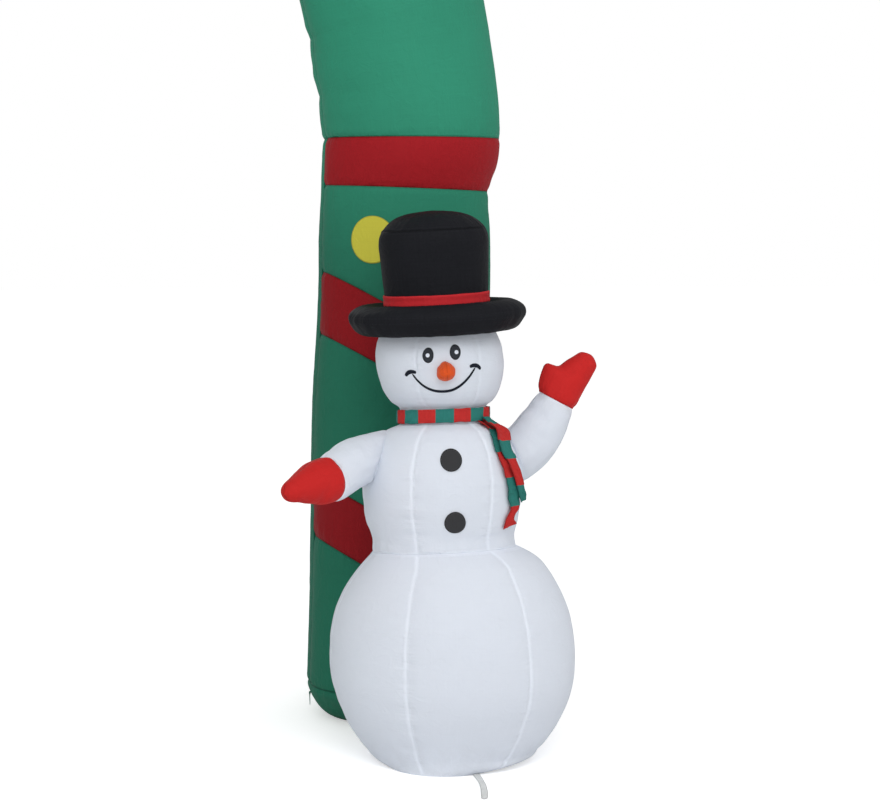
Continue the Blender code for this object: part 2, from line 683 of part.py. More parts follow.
def flat_piece(name, outline, slot, thick):
    """A flat outline as a curve, filled on both sides and given its thickness, made a mesh."""
    curve = bpy.data.curves.new(name, "CURVE")
    curve.dimensions = "2D"
    curve.fill_mode = "BOTH"
    curve.extrude = thick / 2
    line = curve.splines.new("POLY")
    line.points.add(len(outline) - 1)
    for point, (x, y) in zip(line.points, outline):
        point.co = (x, y, 0.0, 1.0)
    line.use_cyclic_u = True
    source = bpy.data.objects.new(name + "_outline", curve)
    parts.objects.link(source)
    bpy.context.view_layer.update()
    mesh = bpy.data.meshes.new_from_object(source.evaluated_get(bpy.context.evaluated_depsgraph_get()))
    bm = bmesh.new()
    bm.from_mesh(mesh)
    bmesh.ops.remove_doubles(bm, verts=bm.verts[:], dist=0.00005)
    bmesh.ops.recalc_face_normals(bm, faces=bm.faces[:])
    bm.to_mesh(mesh)
    bm.free()
    bpy.data.objects.remove(source)
    bpy.data.curves.remove(curve)
    mesh.name = name
    mesh.materials.clear()
    return add_object(name, mesh, slot, parts)


def build_strap():
    """The loop of webbing: a gently bent strip with a round far end, lying on the ground."""
    start, end = np.array(STRAP_FROM), np.array(STRAP_TO)
    along = (end - start) / np.linalg.norm(end - start)
    square = np.array((-along[1], along[0]))
    shares = np.linspace(0.0, 1.0, 9)
    middle = start + np.outer(shares, end - start) + np.outer(STRAP_BEND * np.sin(shares * math.pi), square)
    half = STRAP_WIDE / 2
    left = middle + half * square
    right = middle - half * square
    turns = np.radians(np.arange(-60, 61, 30))
    tip = end + half * (np.outer(np.cos(turns), along) - np.outer(np.sin(turns), square))
    outline = np.vstack((left, tip, right[::-1]))
    strap = flat_piece("tie_strap", outline, "webbing", STRAP_THICK)
    strap.location = (0.0, 0.0, STRAP_THICK / 2 + GAP)
    clearance = loft("ball_clearance", gored_rings(BALL_ROWS, grow=GAP * 1.2), "white", cutters)
    hide_cutter(clearance)
    cut_by(strap, clearance)


def build_tab():
    """The small tab in the leg's inner side seam, just above the ground piece's curve."""
    tab = flat_piece("foot_tab", TAB_OUTLINE, "green", TAB_THICK)
    tab.rotation_euler = (math.pi / 2, 0.0, 0.0)
    rows = np.array(DOME_ROWS)[::-1]
    share = np.interp(TAB_TOP, rows[:, 0], rows[:, 1])
    inner = leg_centre(DOME_ROWS[0][0]) - leg_radius(DOME_ROWS[0][0]) * side_draw(math.pi) * share
    tab.location = (inner - GAP * 1.5, 0.0, TAB_TOP)


def build_snowman():
    loft("ball", gored_rings(BALL_ROWS, back_stop=LEG_FRONT - GAP), "white")
    loft("torso", gored_rings(TORSO_ROWS), "white")
    loft("head", gored_rings(HEAD_ROWS, top_slope=math.tan(-HAT_LEAN)), "white")
    build_arms()
    build_scarf_ring()
    add_tail("scarf_end_long", TAIL_LONG, TAIL_LONG_ROOM, np.linspace(*TAIL_LONG_POINT, TAIL_ACROSS))
    add_tail("scarf_end_short", TAIL_SHORT, 0.0, np.linspace(*TAIL_SHORT_POINT, TAIL_ACROSS))
    for name, profile, slot in (
        ("hat_brim", BRIM_PROFILE, "black"),
        ("hat_crown", CROWN_PROFILE, "black"),
        ("hat_top", TOP_PROFILE, "black"),
        ("hat_ribbon", RIBBON_PROFILE, "ribbon"),
    ):
        turned(name, profile, slot, HAT_AT, HAT_LEAN)
    for name, height, turn, radius in BUTTONS:
        patch(name, torso_surface(height, turn), radius, "charcoal")
    nose = turned("nose", NOSE_PROFILE, "orange", (0.0, 0.0, 0.0), 0.0)
    centre = np.interp(NOSE_HEIGHT, column(HEAD_ROWS, FIGURE_COLUMNS, "height"), column(HEAD_ROWS, FIGURE_COLUMNS, "centre"))
    nose.location = (centre + NOSE_OUT * math.sin(NOSE_TURN), FIGURE_Y - NOSE_OUT * math.cos(NOSE_TURN), NOSE_HEIGHT)
    nose.rotation_euler = (math.pi / 2, 0.0, NOSE_TURN)
    build_strap()
    build_tab()


# ---------------------------------------------------------------- the whole part

for old in list(bpy.data.objects):
    bpy.data.objects.remove(old)

parts = bpy.data.collections.new("inflatable_archway")
cutters = bpy.data.collections.new("cutters")
bpy.context.scene.collection.children.link(parts)
bpy.context.scene.collection.children.link(cutters)

place = bpy.data.objects.new("archway_middle", None)
place.location = ARCH_AT
parts.objects.link(place)

build_archway()
build_snowman()
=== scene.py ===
"""Inflatable festive archway with a waving snowman at its right leg, dressed as sewn, air-filled cloth.

Sizes are in metres. Shapes are worked out about the foot of the archway's middle plane: X across the
walk-through, -Y towards the viewer, Z up. Angles round the tube run from its outer side seam (0) to
its inner one (pi).
"""

import math

import bpy
import numpy as np
from mathutils import Matrix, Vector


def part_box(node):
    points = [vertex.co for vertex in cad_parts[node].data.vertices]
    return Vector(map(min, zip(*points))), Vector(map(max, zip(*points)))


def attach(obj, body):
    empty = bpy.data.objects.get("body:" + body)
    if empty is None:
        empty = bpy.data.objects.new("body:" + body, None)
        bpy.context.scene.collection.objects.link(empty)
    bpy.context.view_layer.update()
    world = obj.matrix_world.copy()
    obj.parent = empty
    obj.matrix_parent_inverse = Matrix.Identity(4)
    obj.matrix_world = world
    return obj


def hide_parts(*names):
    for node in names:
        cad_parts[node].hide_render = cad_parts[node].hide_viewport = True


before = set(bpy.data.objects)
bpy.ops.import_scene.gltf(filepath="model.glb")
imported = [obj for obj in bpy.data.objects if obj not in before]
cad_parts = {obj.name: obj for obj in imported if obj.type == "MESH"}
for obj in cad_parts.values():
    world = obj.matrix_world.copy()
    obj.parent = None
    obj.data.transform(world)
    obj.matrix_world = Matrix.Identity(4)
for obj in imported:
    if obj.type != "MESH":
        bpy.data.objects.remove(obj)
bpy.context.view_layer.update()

bl_info = {
    "name": "Inflatable archway with a snowman",
    "version": (1, 0, 0),
    "blender": (4, 5, 0),
    "location": "3D View > Sidebar > Archway",
    "description": "Sews the panels of an air-filled archway and its snowman, with cloth finishes and a pale stage",
    "category": "Add Mesh",
}

ROOT = "root"
GAP = 0.0003                # what two sewn pieces keep between them
FULL_TURN = 2 * math.pi
SHARP_EDGE = math.radians(50)

TOP_LOW, TOP_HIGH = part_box("top_front")
MIDDLE = np.array(((TOP_LOW[0] + TOP_HIGH[0]) / 2, TOP_HIGH[1] + GAP / 2, 0.0))

# ---------------------------------------------------------------- the archway's tables

FOOT_TOP = 0.080            # the height of the seam between a foot and its leg
# height, middle line, girth's radius
LEG_ROWS = np.array((
    (FOOT_TOP, 1.0290, 0.2060), (0.150, 1.0310, 0.2068), (0.270, 1.0350, 0.2068), (0.510, 1.0410, 0.2072),
    (0.640, 1.0410, 0.2074), (0.755, 1.0440, 0.2066), (0.900, 1.0540, 0.2068), (1.020, 1.0600, 0.2068),
    (1.150, 1.0600, 0.2058), (1.265, 1.0615, 0.2020), (1.330, 1.0720, 0.2110), (1.383, 1.0775, 0.2130),
))
SIDE_SEAM_DRAW = 0.03
SIDE_SEAM_REACH = math.radians(11)
CROSS_VALLEY, SIDE_VALLEY = 0.008, 0.006                      # how wide the cloth is drawn in at a seam
CROSS_FOLDS, SIDE_FOLDS = (0.015, 0.030), (0.019, 0.036)      # a fold's length along its seam, and its reach from it
FOLD_START = 0.003          # how far from a seam its folds begin
MEETING = (0.006, 0.024)    # how much nearer one seam has to be before its puckers begin and are whole

# each cross seam of the front, bottom to top: height at the middle and slope
SLANT = -0.56
FRONT_SEAMS = (
    (FOOT_TOP, 0.0), (0.327, SLANT), (0.466, SLANT), (0.811, SLANT), (0.956, SLANT), (1.265, -0.035), (1.383, 0.0),
)
BACK_SEAMS = (FRONT_SEAMS[0], FRONT_SEAMS[-1])
# the front's pieces between them, and their cloth
FRONT_PIECES = (
    ("front_low", "green"), ("stripe_low", "stripe"), ("front_middle", "green"),
    ("stripe_high", "stripe"), ("front_high", "green"), ("band", "stripe"),
)

# the tube above the band: height, middle line, lean in degrees, buckle fold
SHOULDER_ROWS = (
    (1.3832, 1.0775, 0.0, 0), (1.425, 1.0735, 4.5, 0), (1.470, 1.0688, 6.5, 0), (1.510, 1.0635, 8.0, 1),
    (1.550, 1.0575, 8.5, 0), (1.612, 1.0480, 9.3, 0), (1.654, 1.0405, 10.8, 1),
)
ROUND_RADIUS, ROUND_Z = 1.0566, 1.4703
TOP_TUBE = 0.2145
FOLDS = 16
FIRST_FOLD = math.radians(18.5)

# a foot's height and its share of the girth
DOME_ROWS = np.array((
    (0.0, 0.650), (0.002, 0.715), (0.011, 0.808), (0.026, 0.890), (0.044, 0.948), (0.064, 0.988), (FOOT_TOP, 1.0),
))

DOT_RADIUS, DOT_HEIGHT, DOT_TURN = 0.055, 1.146, math.radians(-31.5)
TAB_TOP, TAB_LONG = 0.0595, 0.0325
PATCH_THICK, PATCH_LIFT = 0.0018, 0.0004

# ---------------------------------------------------------------- the snowman's tables

FIGURE_Y = -0.4666
FIGURE_TURN = math.radians(-3.5)
GORES = 6
FIRST_GORE_SEAM = math.radians(30)
LEG_FRONT = -0.2068
# where the waist and the neck are sewn in a slant: height, reach, rise, and rise towards the front and the right
RING_TILTS = (
    (0.4547, 0.090, 0.0, 0.070, 0.012), (0.4547, 0.060, 0.012, 0.0, 0.018), (0.7630, 0.036, 0.0, 0.085, 0.015),
)
BALL_SEED, TORSO_SEED, HEAD_SEED = 101, 201, 301

# height, radius, middle, how far forward
BALL_ROWS = np.array((
    (0.0000, 0.1200, 1.0440, 0.086), (0.0070, 0.1580, 1.0640, 0.052), (0.0300, 0.1970, 1.0765, 0.018),
    (0.0590, 0.2225, 1.0815, 0.005), (0.0990, 0.2460, 1.0830, 0.0), (0.1390, 0.2620, 1.0835, 0.0),
    (0.1790, 0.2715, 1.0830, 0.0), (0.2200, 0.2745, 1.0825, 0.0), (0.2600, 0.2735, 1.0820, 0.0),
    (0.2980, 0.2685, 1.0810, 0.0), (0.3380, 0.2575, 1.0800, 0.0), (0.3780, 0.2385, 1.0785, 0.0),
    (0.4080, 0.2165, 1.0775, 0.0), (0.4310, 0.1935, 1.0750, 0.0), (0.4460, 0.1730, 1.0690, 0.0),
    (0.4545, 0.1600, 1.0630, 0.0),
))
TORSO_ROWS = np.array((
    (0.4548, 0.1600, 1.0630, 0.0), (0.4810, 0.1590, 1.0605, 0.0), (0.5210, 0.1670, 1.0585, 0.0),
    (0.5480, 0.1725, 1.0575, 0.0), (0.5880, 0.1775, 1.0575, 0.0), (0.6250, 0.1780, 1.0575, 0.0),
    (0.6600, 0.1730, 1.0580, 0.0), (0.6950, 0.1580, 1.0585, 0.0), (0.7200, 0.1390, 1.0590, 0.0),
    (0.7350, 0.1180, 1.0597, 0.0), (0.7430, 0.0995, 1.0600, 0.0), (0.7625, 0.0995, 1.0600, 0.0),
))
HEAD_ROWS = np.array((
    (0.7628, 0.0995, 1.0600, 0.0), (0.7845, 0.0995, 1.0590, 0.0), (0.7910, 0.1090, 1.0580, 0.0),
    (0.8020, 0.1187, 1.0572, 0.0), (0.8170, 0.1275, 1.0555, 0.0), (0.8360, 0.1350, 1.0545, 0.0),
    (0.8580, 0.1405, 1.0535, 0.0), (0.8800, 0.1430, 1.0520, 0.0), (0.9000, 0.1420, 1.0510, 0.0),
    (0.9200, 0.1385, 1.0512, 0.0), (0.9400, 0.1310, 1.0502, 0.0), (0.9686, 0.1175, 1.0465, 0.0),
))

# a limb's middle line x, y, z, its half width and its half depth
ARM_LEFT = np.array((
    (1.0000, -0.471, 0.6700, 0.0450, 0.0450), (0.9350, -0.474, 0.6780, 0.0520, 0.0520),
    (0.8950, -0.487, 0.6750, 0.0540, 0.0540), (0.8520, -0.515, 0.6640, 0.0545, 0.0545),
    (0.8170, -0.545, 0.6490, 0.0525, 0.0525), (0.7870, -0.571, 0.6360, 0.0500, 0.0500),
))
MITTEN_LEFT = np.array((
    (0.7740, -0.582, 0.6350, 0.0500, 0.0490), (0.7520, -0.600, 0.6335, 0.0465, 0.0455),
    (0.7300, -0.620, 0.6300, 0.0380, 0.0380), (0.7070, -0.640, 0.6255, 0.0290, 0.0290),
    (0.6860, -0.655, 0.6200, 0.0190, 0.0190), (0.6780, -0.662, 0.6180, 0.0100, 0.0100),
))
ARM_RIGHT = np.array((
    (1.1150, -0.471, 0.6480, 0.0530, 0.0520), (1.1740, -0.472, 0.6540, 0.0555, 0.0550),
    (1.2160, -0.473, 0.6665, 0.0570, 0.0560), (1.2470, -0.474, 0.6880, 0.0575, 0.0560),
    (1.2685, -0.475, 0.7140, 0.0565, 0.0550), (1.2860, -0.476, 0.7415, 0.0530, 0.0520),
    (1.3015, -0.477, 0.7690, 0.0480, 0.0470), (1.3140, -0.478, 0.7925, 0.0440, 0.0435),
))
MITTEN_RIGHT = np.array((
    (1.3225, -0.479, 0.8085, 0.0445, 0.0430), (1.3370, -0.480, 0.8290, 0.0425, 0.0400),
    (1.3560, -0.481, 0.8510, 0.0370, 0.0350), (1.3740, -0.482, 0.8700, 0.0300, 0.0275),
    (1.3880, -0.483, 0.8850, 0.0230, 0.0190), (1.3945, -0.483, 0.8920, 0.0150, 0.0110),
))
TIP_ROUND = 0.012           # the length over which a mitten's tip closes
# the right mitten's thumb: way from the cuff, and how far it reaches beyond the palm's side
THUMB_RIGHT = np.array((
    (-0.0040, 0.0010), (0.0050, 0.0040), (0.0200, 0.0120), (0.0350, 0.0205), (0.0440, 0.0250),
    (0.0490, 0.0250), (0.0525, 0.0215), (0.0560, 0.0110), (0.0600, 0.0020), (0.0650, 0.0),
))

# the hat, on its own leaning axis: radius and height above the brim's middle
HAT_AT = np.array((1.0460, FIGURE_Y, 0.980))
HAT_LEAN = math.radians(-3.0)
BRIM_PROFILE = np.array((
    (0.0, -0.0110), (0.0600, -0.0110), (0.1150, -0.0110), (0.1230, -0.0135), (0.1330, -0.0240), (0.1480, -0.0315),
    (0.1640, -0.0325), (0.1800, -0.0240), (0.1915, -0.0085), (0.1975, 0.0040), (0.1920, 0.0170), (0.1800, 0.0265),
    (0.1640, 0.0325), (0.1450, 0.0325), (0.1300, 0.0290), (0.1185, 0.0260), (0.0600, 0.0260), (0.0, 0.0260),
))
BRIM_EDGE = 9               # the row of the brim's outer seam
CROWN_PROFILE = np.array((
    (0.1142, 0.0263), (0.1142, 0.0533), (0.1152, 0.0630), (0.1175, 0.1000), (0.1193, 0.1400), (0.1202, 0.1650),
    (0.1183, 0.1810), (0.1138, 0.1934),
))
TOP_PROFILE = np.array((
    (0.1134, 0.1937), (0.1080, 0.1995), (0.0985, 0.2090), (0.0825, 0.2195), (0.0630, 0.2265), (0.0300, 0.2318),
    (0.0040, 0.2338),
))
RIBBON_PROFILE = np.array((
    (0.1146, 0.0290), (0.1160, 0.0292), (0.1167, 0.0410), (0.1160, 0.0528), (0.1146, 0.0530), (0.1143, 0.0410),
))
HAT_RADIUS = 0.115          # the radius that the cloth is measured round the hat by

SCARF_AT, SCARF_IN, SCARF_THICK, SCARF_LOW, SCARF_HIGH, SCARF_SLOPE = 1.0600, 0.1003, 0.0030, 0.7475, 0.7790, 0.014
SCARF_BLOCKS = 16
SCARF_FIRST_BLOCK = math.radians(1.3)

# a hanging scarf end: height, turn round the body, out from it, half width, which way it faces
TAIL_LONG = np.array((
    (0.7500, 49.5, 0.0035, 0.0225, 47.0), (0.7435, 49.5, 0.0040, 0.0230, 41.0), (0.7330, 50.0, 0.0060, 0.0220, 37.0),
    (0.7235, 44.5, 0.0060, 0.0205, 35.0), (0.7081, 40.5, 0.0060, 0.0195, 36.0), (0.6939, 40.0, 0.0060, 0.0200, 38.0),
    (0.6663, 41.0, 0.0060, 0.0200, 40.0), (0.6400, 43.7, 0.0060, 0.0200, 42.0), (0.6094, 45.5, 0.0060, 0.0200, 42.0),
    (0.5870, 46.8, 0.0060, 0.0195, 42.0), (0.5668, 49.0, 0.0060, 0.0165, 40.0), (0.5533, 47.0, 0.0060, 0.0135, 38.0),
    (0.5393, 44.7, 0.0065, 0.0130, 34.0), (0.5240, 45.3, 0.0070, 0.0160, 30.0), (0.5165, 45.5, 0.0070, 0.0175, 30.0),
))
TAIL_SHORT = np.array((
    (0.7570, 49.0, 0.0085, 0.0120, 46.0), (0.7500, 49.0, 0.0160, 0.0150, 42.0), (0.7410, 49.5, 0.0245, 0.0185, 37.0),
    (0.7310, 51.0, 0.0165, 0.0235, 32.0), (0.7145, 45.0, 0.0140, 0.0195, 30.0), (0.6944, 41.5, 0.0140, 0.0172, 30.0),
    (0.6772, 43.0, 0.0140, 0.0160, 30.0), (0.6533, 45.4, 0.0140, 0.0150, 30.0), (0.6310, 48.5, 0.0140, 0.0134, 32.0),
    (0.6085, 51.4, 0.0140, 0.0128, 34.0), (0.5852, 55.5, 0.0130, 0.0128, 36.0), (0.5779, 57.5, 0.0130, 0.0110, 38.0),
))
# the heights where one colour of cloth ends and the next begins, top to bottom
LONG_BLOCKS = (0.7700, 0.7330, 0.6920, 0.6370, 0.5700, 0.5100)
SHORT_BLOCKS = (0.8300, 0.7900, 0.7420, 0.7130, 0.6770, 0.6180, 0.5600)
# for each end: name, rows, blocks, room below its left and right sides, how far their edges are ruffled, how far its
# foot is raised from left to right, seed, flat size
TAILS = (
    ("long", TAIL_LONG, LONG_BLOCKS, (0.0, 0.0), (0.0060, 0.0010), (-0.0065, 0.0065), 601, (0.046, 0.235)),
    ("short", TAIL_SHORT, SHORT_BLOCKS, (0.0110, 0.0060), (0.0035, 0.0060), (-0.0010, 0.0040), 611, (0.044, 0.180)),
)
TAIL_THICK, TAIL_CLEAR, TAIL_SHARE = 0.0022, 0.0011, 0.95

# the face: height on the head and turn round it in degrees
EYES = (("left", 0.9037, -21.6, -21.9), ("right", 0.9106, 2.3, 3.4))
EYE_HALF, PUPIL_RADIUS = (0.0122, 0.0166), 0.0044
PRINT_LIFT, EYE_THICK, PUPIL_THICK = 0.0002, 0.0005, 0.0004
SMILE_WIDE, SMILE_THICK, CHEEK_WIDE, CHEEK_THICK = 0.0062, 0.0005, 0.0088, 0.0006
SMILE = np.array((
    (0.8629, -37.5), (0.8478, -33.03), (0.8351, -26.83), (0.8272, -19.5), (0.8245, -10.55),
    (0.8279, -0.94), (0.8389, 7.18), (0.8559, 14.51), (0.8767, 20.96),
))
CHEEKS = (
    ("left", np.array(((0.8575, -44.3), (0.8640, -41.7), (0.8672, -38.4), (0.8662, -33.4)))),
    ("right", np.array(((0.8784, 15.2), (0.8812, 19.2), (0.8795, 23.6), (0.8722, 27.1)))),
)
PER_DEGREE = 0.0024         # the length of a degree round the head
NOSE_HEIGHT, NOSE_TURN = 0.8690, math.radians(-6.7)
NOSE_PROFILE = np.array((
    (0.0165, 0.0), (0.0190, 0.0050), (0.0180, 0.0140), (0.0145, 0.0250), (0.0090, 0.0350), (0.0035, 0.0405),
))
# angle round the nose from its right, and its width there as a share of the profile
NOSE_OUTLINE = np.array((
    (0.0, 0.97), (20.0, 0.98), (50.0, 0.99), (75.0, 1.10), (90.0, 1.16), (105.0, 1.08), (130.0, 0.98),
    (158.0, 0.94), (185.0, 1.00), (212.0, 1.12), (226.0, 1.16), (243.0, 1.10), (263.0, 1.07), (290.0, 1.00),
    (320.0, 0.95), (360.0, 0.97),
))
# height, turn, radius and a stretch upwards, since the slanting waist shortens what lies near it
BUTTONS = (
    ("button_high", 0.6797, math.radians(-5.2), 0.0236, 1.0), ("button_low", 0.5375, math.radians(-2.2), 0.0234, 1.24),
)

STRAP_FROM, STRAP_TO, STRAP_BEND = np.array((1.0930, -0.6400)), np.array((1.0640, -0.8780)), 0.008
STRAP_WIDE, STRAP_THICK, STRAP_LONG = 0.0150, 0.0022, 0.212
BALL_FOOT, BALL_FOOT_RADIUS = (1.043, -0.5372), 0.1385       # the round that the strap comes out of

# ---------------------------------------------------------------- the stage's tables

# each lamp: name, place, size, which power and the share of it
LAMPS = (
    ("key", (0.4, -4.4, 4.2), 3.2, "key_power", 1.0), ("left_fill", (-4.5, -2.8, 2.4), 2.6, "fill_power", 0.5),
    ("right_fill", (5.0, -1.5, 2.2), 2.6, "fill_power", 0.4), ("back_fill", (0.0, 5.0, 3.6), 3.2, "fill_power", 1.0),
)
LAMPS_LOOK_AT = (0.6, -0.3, 1.2)        # from the foot of the middle plane
CAMERA_OUT, CAMERA_HEIGHT = 5.6, 1.22
CAMERA_TURN = (math.radians(90 - 4.623), math.radians(-0.134), math.radians(-11.575))

# ---------------------------------------------------------------- numbers on grids


def random_heights(x, y, seed, around=0):
    """Smooth random heights from -1 to 1: a hashed number at each whole place, blended by 3t^2 - 2t^3 between them.

    around is the number of cells after which x comes round to its start.
    """
    x, y = np.broadcast_arrays(np.asarray(x, float), np.asarray(y, float))
    left, low = np.floor(x).astype(np.int64), np.floor(y).astype(np.int64)
    across, up = x - left, y - low
    across, up = across * across * (3 - 2 * across), up * up * (3 - 2 * up)

    def picked(i, j):
        if around:
            i = i % around
        mixed = (i * 374761393 + j * 668265263 + seed * 362437) & 0x7FFFFFFF
        mixed = ((mixed ^ (mixed >> 13)) * 1274126177) & 0x7FFFFFFF
        return ((mixed ^ (mixed >> 16)) & 0xFFFF) / 32767.5 - 1.0

    lower = picked(left, low) * (1 - across) + picked(left + 1, low) * across
    upper = picked(left, low + 1) * (1 - across) + picked(left + 1, low + 1) * across
    return lower * (1 - up) + upper * up


def together(*parts):
    """Grids of numbers as the parts of one grid of vectors."""
    return np.stack(np.broadcast_arrays(*parts), axis=-1)


def full_circle(count):
    """Even angles round a full turn, the first one 0."""
    return np.linspace(0.0, FULL_TURN, count, endpoint=False)


def bell(off, width):
    """A bell's height at a distance from its middle."""
    return np.exp(-((off / width) ** 2))


def through(rows, column, at):
    """A column of a table at any value of its first one: cubic pieces whose slope at a row is its neighbours' slope."""
    known, value = rows[:, 0], rows[:, column]
    slope = np.gradient(value, known)
    at = np.clip(at, known[0], known[-1])
    i = np.clip(np.searchsorted(known, at) - 1, 0, len(known) - 2)
    step = known[i + 1] - known[i]
    t = (at - known[i]) / step
    rise = t * t * (3 - 2 * t)
    return value[i] * (1 - rise) + value[i + 1] * rise + step * t * (1 - t) * (slope[i] * (1 - t) - slope[i + 1] * t)


def along(points):
    """The length walked along a row of points, from 0 at the first."""
    return np.concatenate(((0.0,), np.cumsum(np.linalg.norm(np.diff(points, axis=0), axis=1))))


def resampled(points, count):
    """Points of a smooth line through the given ones, evenly spaced by length."""
    walked = along(points[:, :3])
    table = np.column_stack((walked, points))
    at = np.linspace(0.0, walked[-1], count)
    return np.column_stack([through(table, i + 1, at) for i in range(points.shape[1])])


def crowded(count, share):
    """Places from 0 to 1 that crowd towards both ends; share is how much, from 0 to 1."""
    t = np.linspace(0.0, 1.0, count)
    return t - share * np.sin(FULL_TURN * t) / FULL_TURN


def soft_step(value, low, high):
    """0 below low, 1 above high and a smooth rise between."""
    t = np.clip((value - low) / (high - low), 0.0, 1.0)
    return t * t * (3 - 2 * t)


def short_folds(run, room, seed, cell, reach, around=0):
    """Folds square to a seam: random heights along it, zero at the seam and dying away with the distance to it.

    cell is a fold's length. Where a seam comes round to its start, run counts its folds, and around is their number.
    """
    heights = random_heights(run if around else run / cell, room / (5 * cell), seed, around)
    return heights * np.exp(-room / reach) * (1 - np.exp(-room / FOLD_START))


def nearer_seam(room, other, run, other_run):
    """The way to the nearer of two seams, the way along it, and how clear a place is of their meeting."""
    return np.minimum(room, other), np.where(room < other, run, other_run), soft_step(np.abs(room - other), *MEETING)


# ---------------------------------------------------------------- meshes


def four_corners(grid):
    """The values at the four corners of each cell of a grid, in order round the cell."""
    return np.stack((grid[:-1, :-1], grid[:-1, 1:], grid[1:, 1:], grid[1:, :-1]), axis=2)


def surface(grid, place, room=0.1, run=0.0, clear=1.0, wrap=True, low="flat", high="flat", ring=False):
    """A grid of points with its cloth coordinates.

    wrap closes the columns, ring the rows; an end is flat, pole or open. room is the way to the nearest seam and run
    the way along it; clear falls to 0 where two seams meet, and is -1 on a piece without puckers.
    """
    rows, columns = grid.shape[:2]
    index = np.arange(rows * columns).reshape(rows, columns)
    if wrap:
        index = np.column_stack((index, index[:, 0]))
    if ring:
        index = np.vstack((index, index[0]))
    loops, uv = [four_corners(index).reshape(-1, 4)], [four_corners(place).reshape(-1, 4, 2)]
    seams = together(room, run, clear, grid[..., 0])[..., :3]
    points, marks = [grid.reshape(-1, 3)], [seams.reshape(-1, 3)]
    for end, row, turned in ((low, 0, True), (high, rows - 1, False)):
        if end == "open" or ring:
            continue
        edge, rim = index[row], place[row]
        if end == "flat":
            face, spot = edge[None, :columns], rim[None, :columns]
        else:
            pole = np.full(columns, rows * columns + len(points) - 1)
            points.append(grid[row].mean(axis=0)[None])
            marks.append(seams[row].mean(axis=0)[None])
            face = np.column_stack((edge[:-1], edge[1:], pole))
            spot = np.stack((rim[:-1], rim[1:], np.tile(rim.mean(axis=0), (columns, 1))), axis=1)
        loops.append(face[:, ::-1] if turned else face)
        uv.append(spot[:, ::-1] if turned else spot)
    is_open = "open" in (low, high) or not wrap
    return {"points": np.vstack(points), "loops": loops, "uv": uv, "marks": np.vstack(marks), "open": is_open}


def outward(part):
    """Turn a surface's faces out, by the sign of the volume that its first corners' fans span."""
    volume = 0.0
    for faces in part["loops"]:
        a = part["points"][faces[:, 0]]
        for i in range(1, faces.shape[1] - 1):
            volume += np.einsum("ij,ij->", a, np.cross(part["points"][faces[:, i]], part["points"][faces[:, i + 1]]))
    if volume < 0:
        for key in ("loops", "uv"):
            part[key] = [corners[:, ::-1] for corners in part[key]]


def add_object(name, data):
    """A new object in the scene."""
    thing = bpy.data.objects.new(name, data)
    bpy.context.scene.collection.objects.link(thing)
    return thing


def add_piece(name, part, cloth_name, *nodes):
    """Make an object of a surface, with the cloth coordinates as its UV map and the seams' places as attributes."""
    if not part["open"]:
        outward(part)
    mesh = bpy.data.meshes.new(name)
    mesh.from_pydata(part["points"] + MIDDLE, [], [face for faces in part["loops"] for face in faces.tolist()])
    spots = np.vstack([spots.reshape(-1, 2) for spots in part["uv"]])
    mesh.uv_layers.new(name="cloth").data.foreach_set("uv", spots.ravel())
    for mark, values in zip(("seam_room", "seam_run", "seam_clear"), part["marks"].T):
        values = np.ascontiguousarray(values, dtype=np.float32)
        mesh.attributes.new(mark, "FLOAT", "POINT").data.foreach_set("value", values)
    mesh.shade_smooth()
    mesh.set_sharp_from_angle(angle=SHARP_EDGE)
    mesh.materials.append(get_cloth(cloth_name))
    piece = add_object(name, mesh)
    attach(piece, ROOT)
    if nodes:
        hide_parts(*nodes)
    return piece


def filled(name, part, cloth_name, node):
    """An air-filled piece."""
    add_piece(name, part, cloth_name, node)


# ---------------------------------------------------------------- the tube


def side_draw(angle):
    """The share of the girth left at an angle: one less a bell-shaped draw at each side seam."""
    off = np.minimum(angle, math.pi - angle)
    return 1.0 - SIDE_SEAM_DRAW * bell(off, SIDE_SEAM_REACH)


def leg_middle(z):
    return through(LEG_ROWS, 1, z)


def leg_girth(z):
    return through(LEG_ROWS, 2, z)


def seam_height(angle, seam):
    """Where a sloping plane cuts the leg: the height is refined until it fits the leg's lean there."""
    height, slope = seam
    z = np.full_like(angle, height)
    for _ in range(4):
        z = height + slope * (leg_middle(z) + leg_girth(z) * side_draw(angle) * np.cos(angle) - leg_middle(height))
    return z


def side_folds(run, side, angle, seeds, shape):
    """Short folds square to the outer and the inner side seam."""
    outer, inner = (short_folds(run, side, seed, *SIDE_FOLDS) for seed in seeds)
    return shape.fold_height * np.where(angle < math.pi / 2, outer, inner)


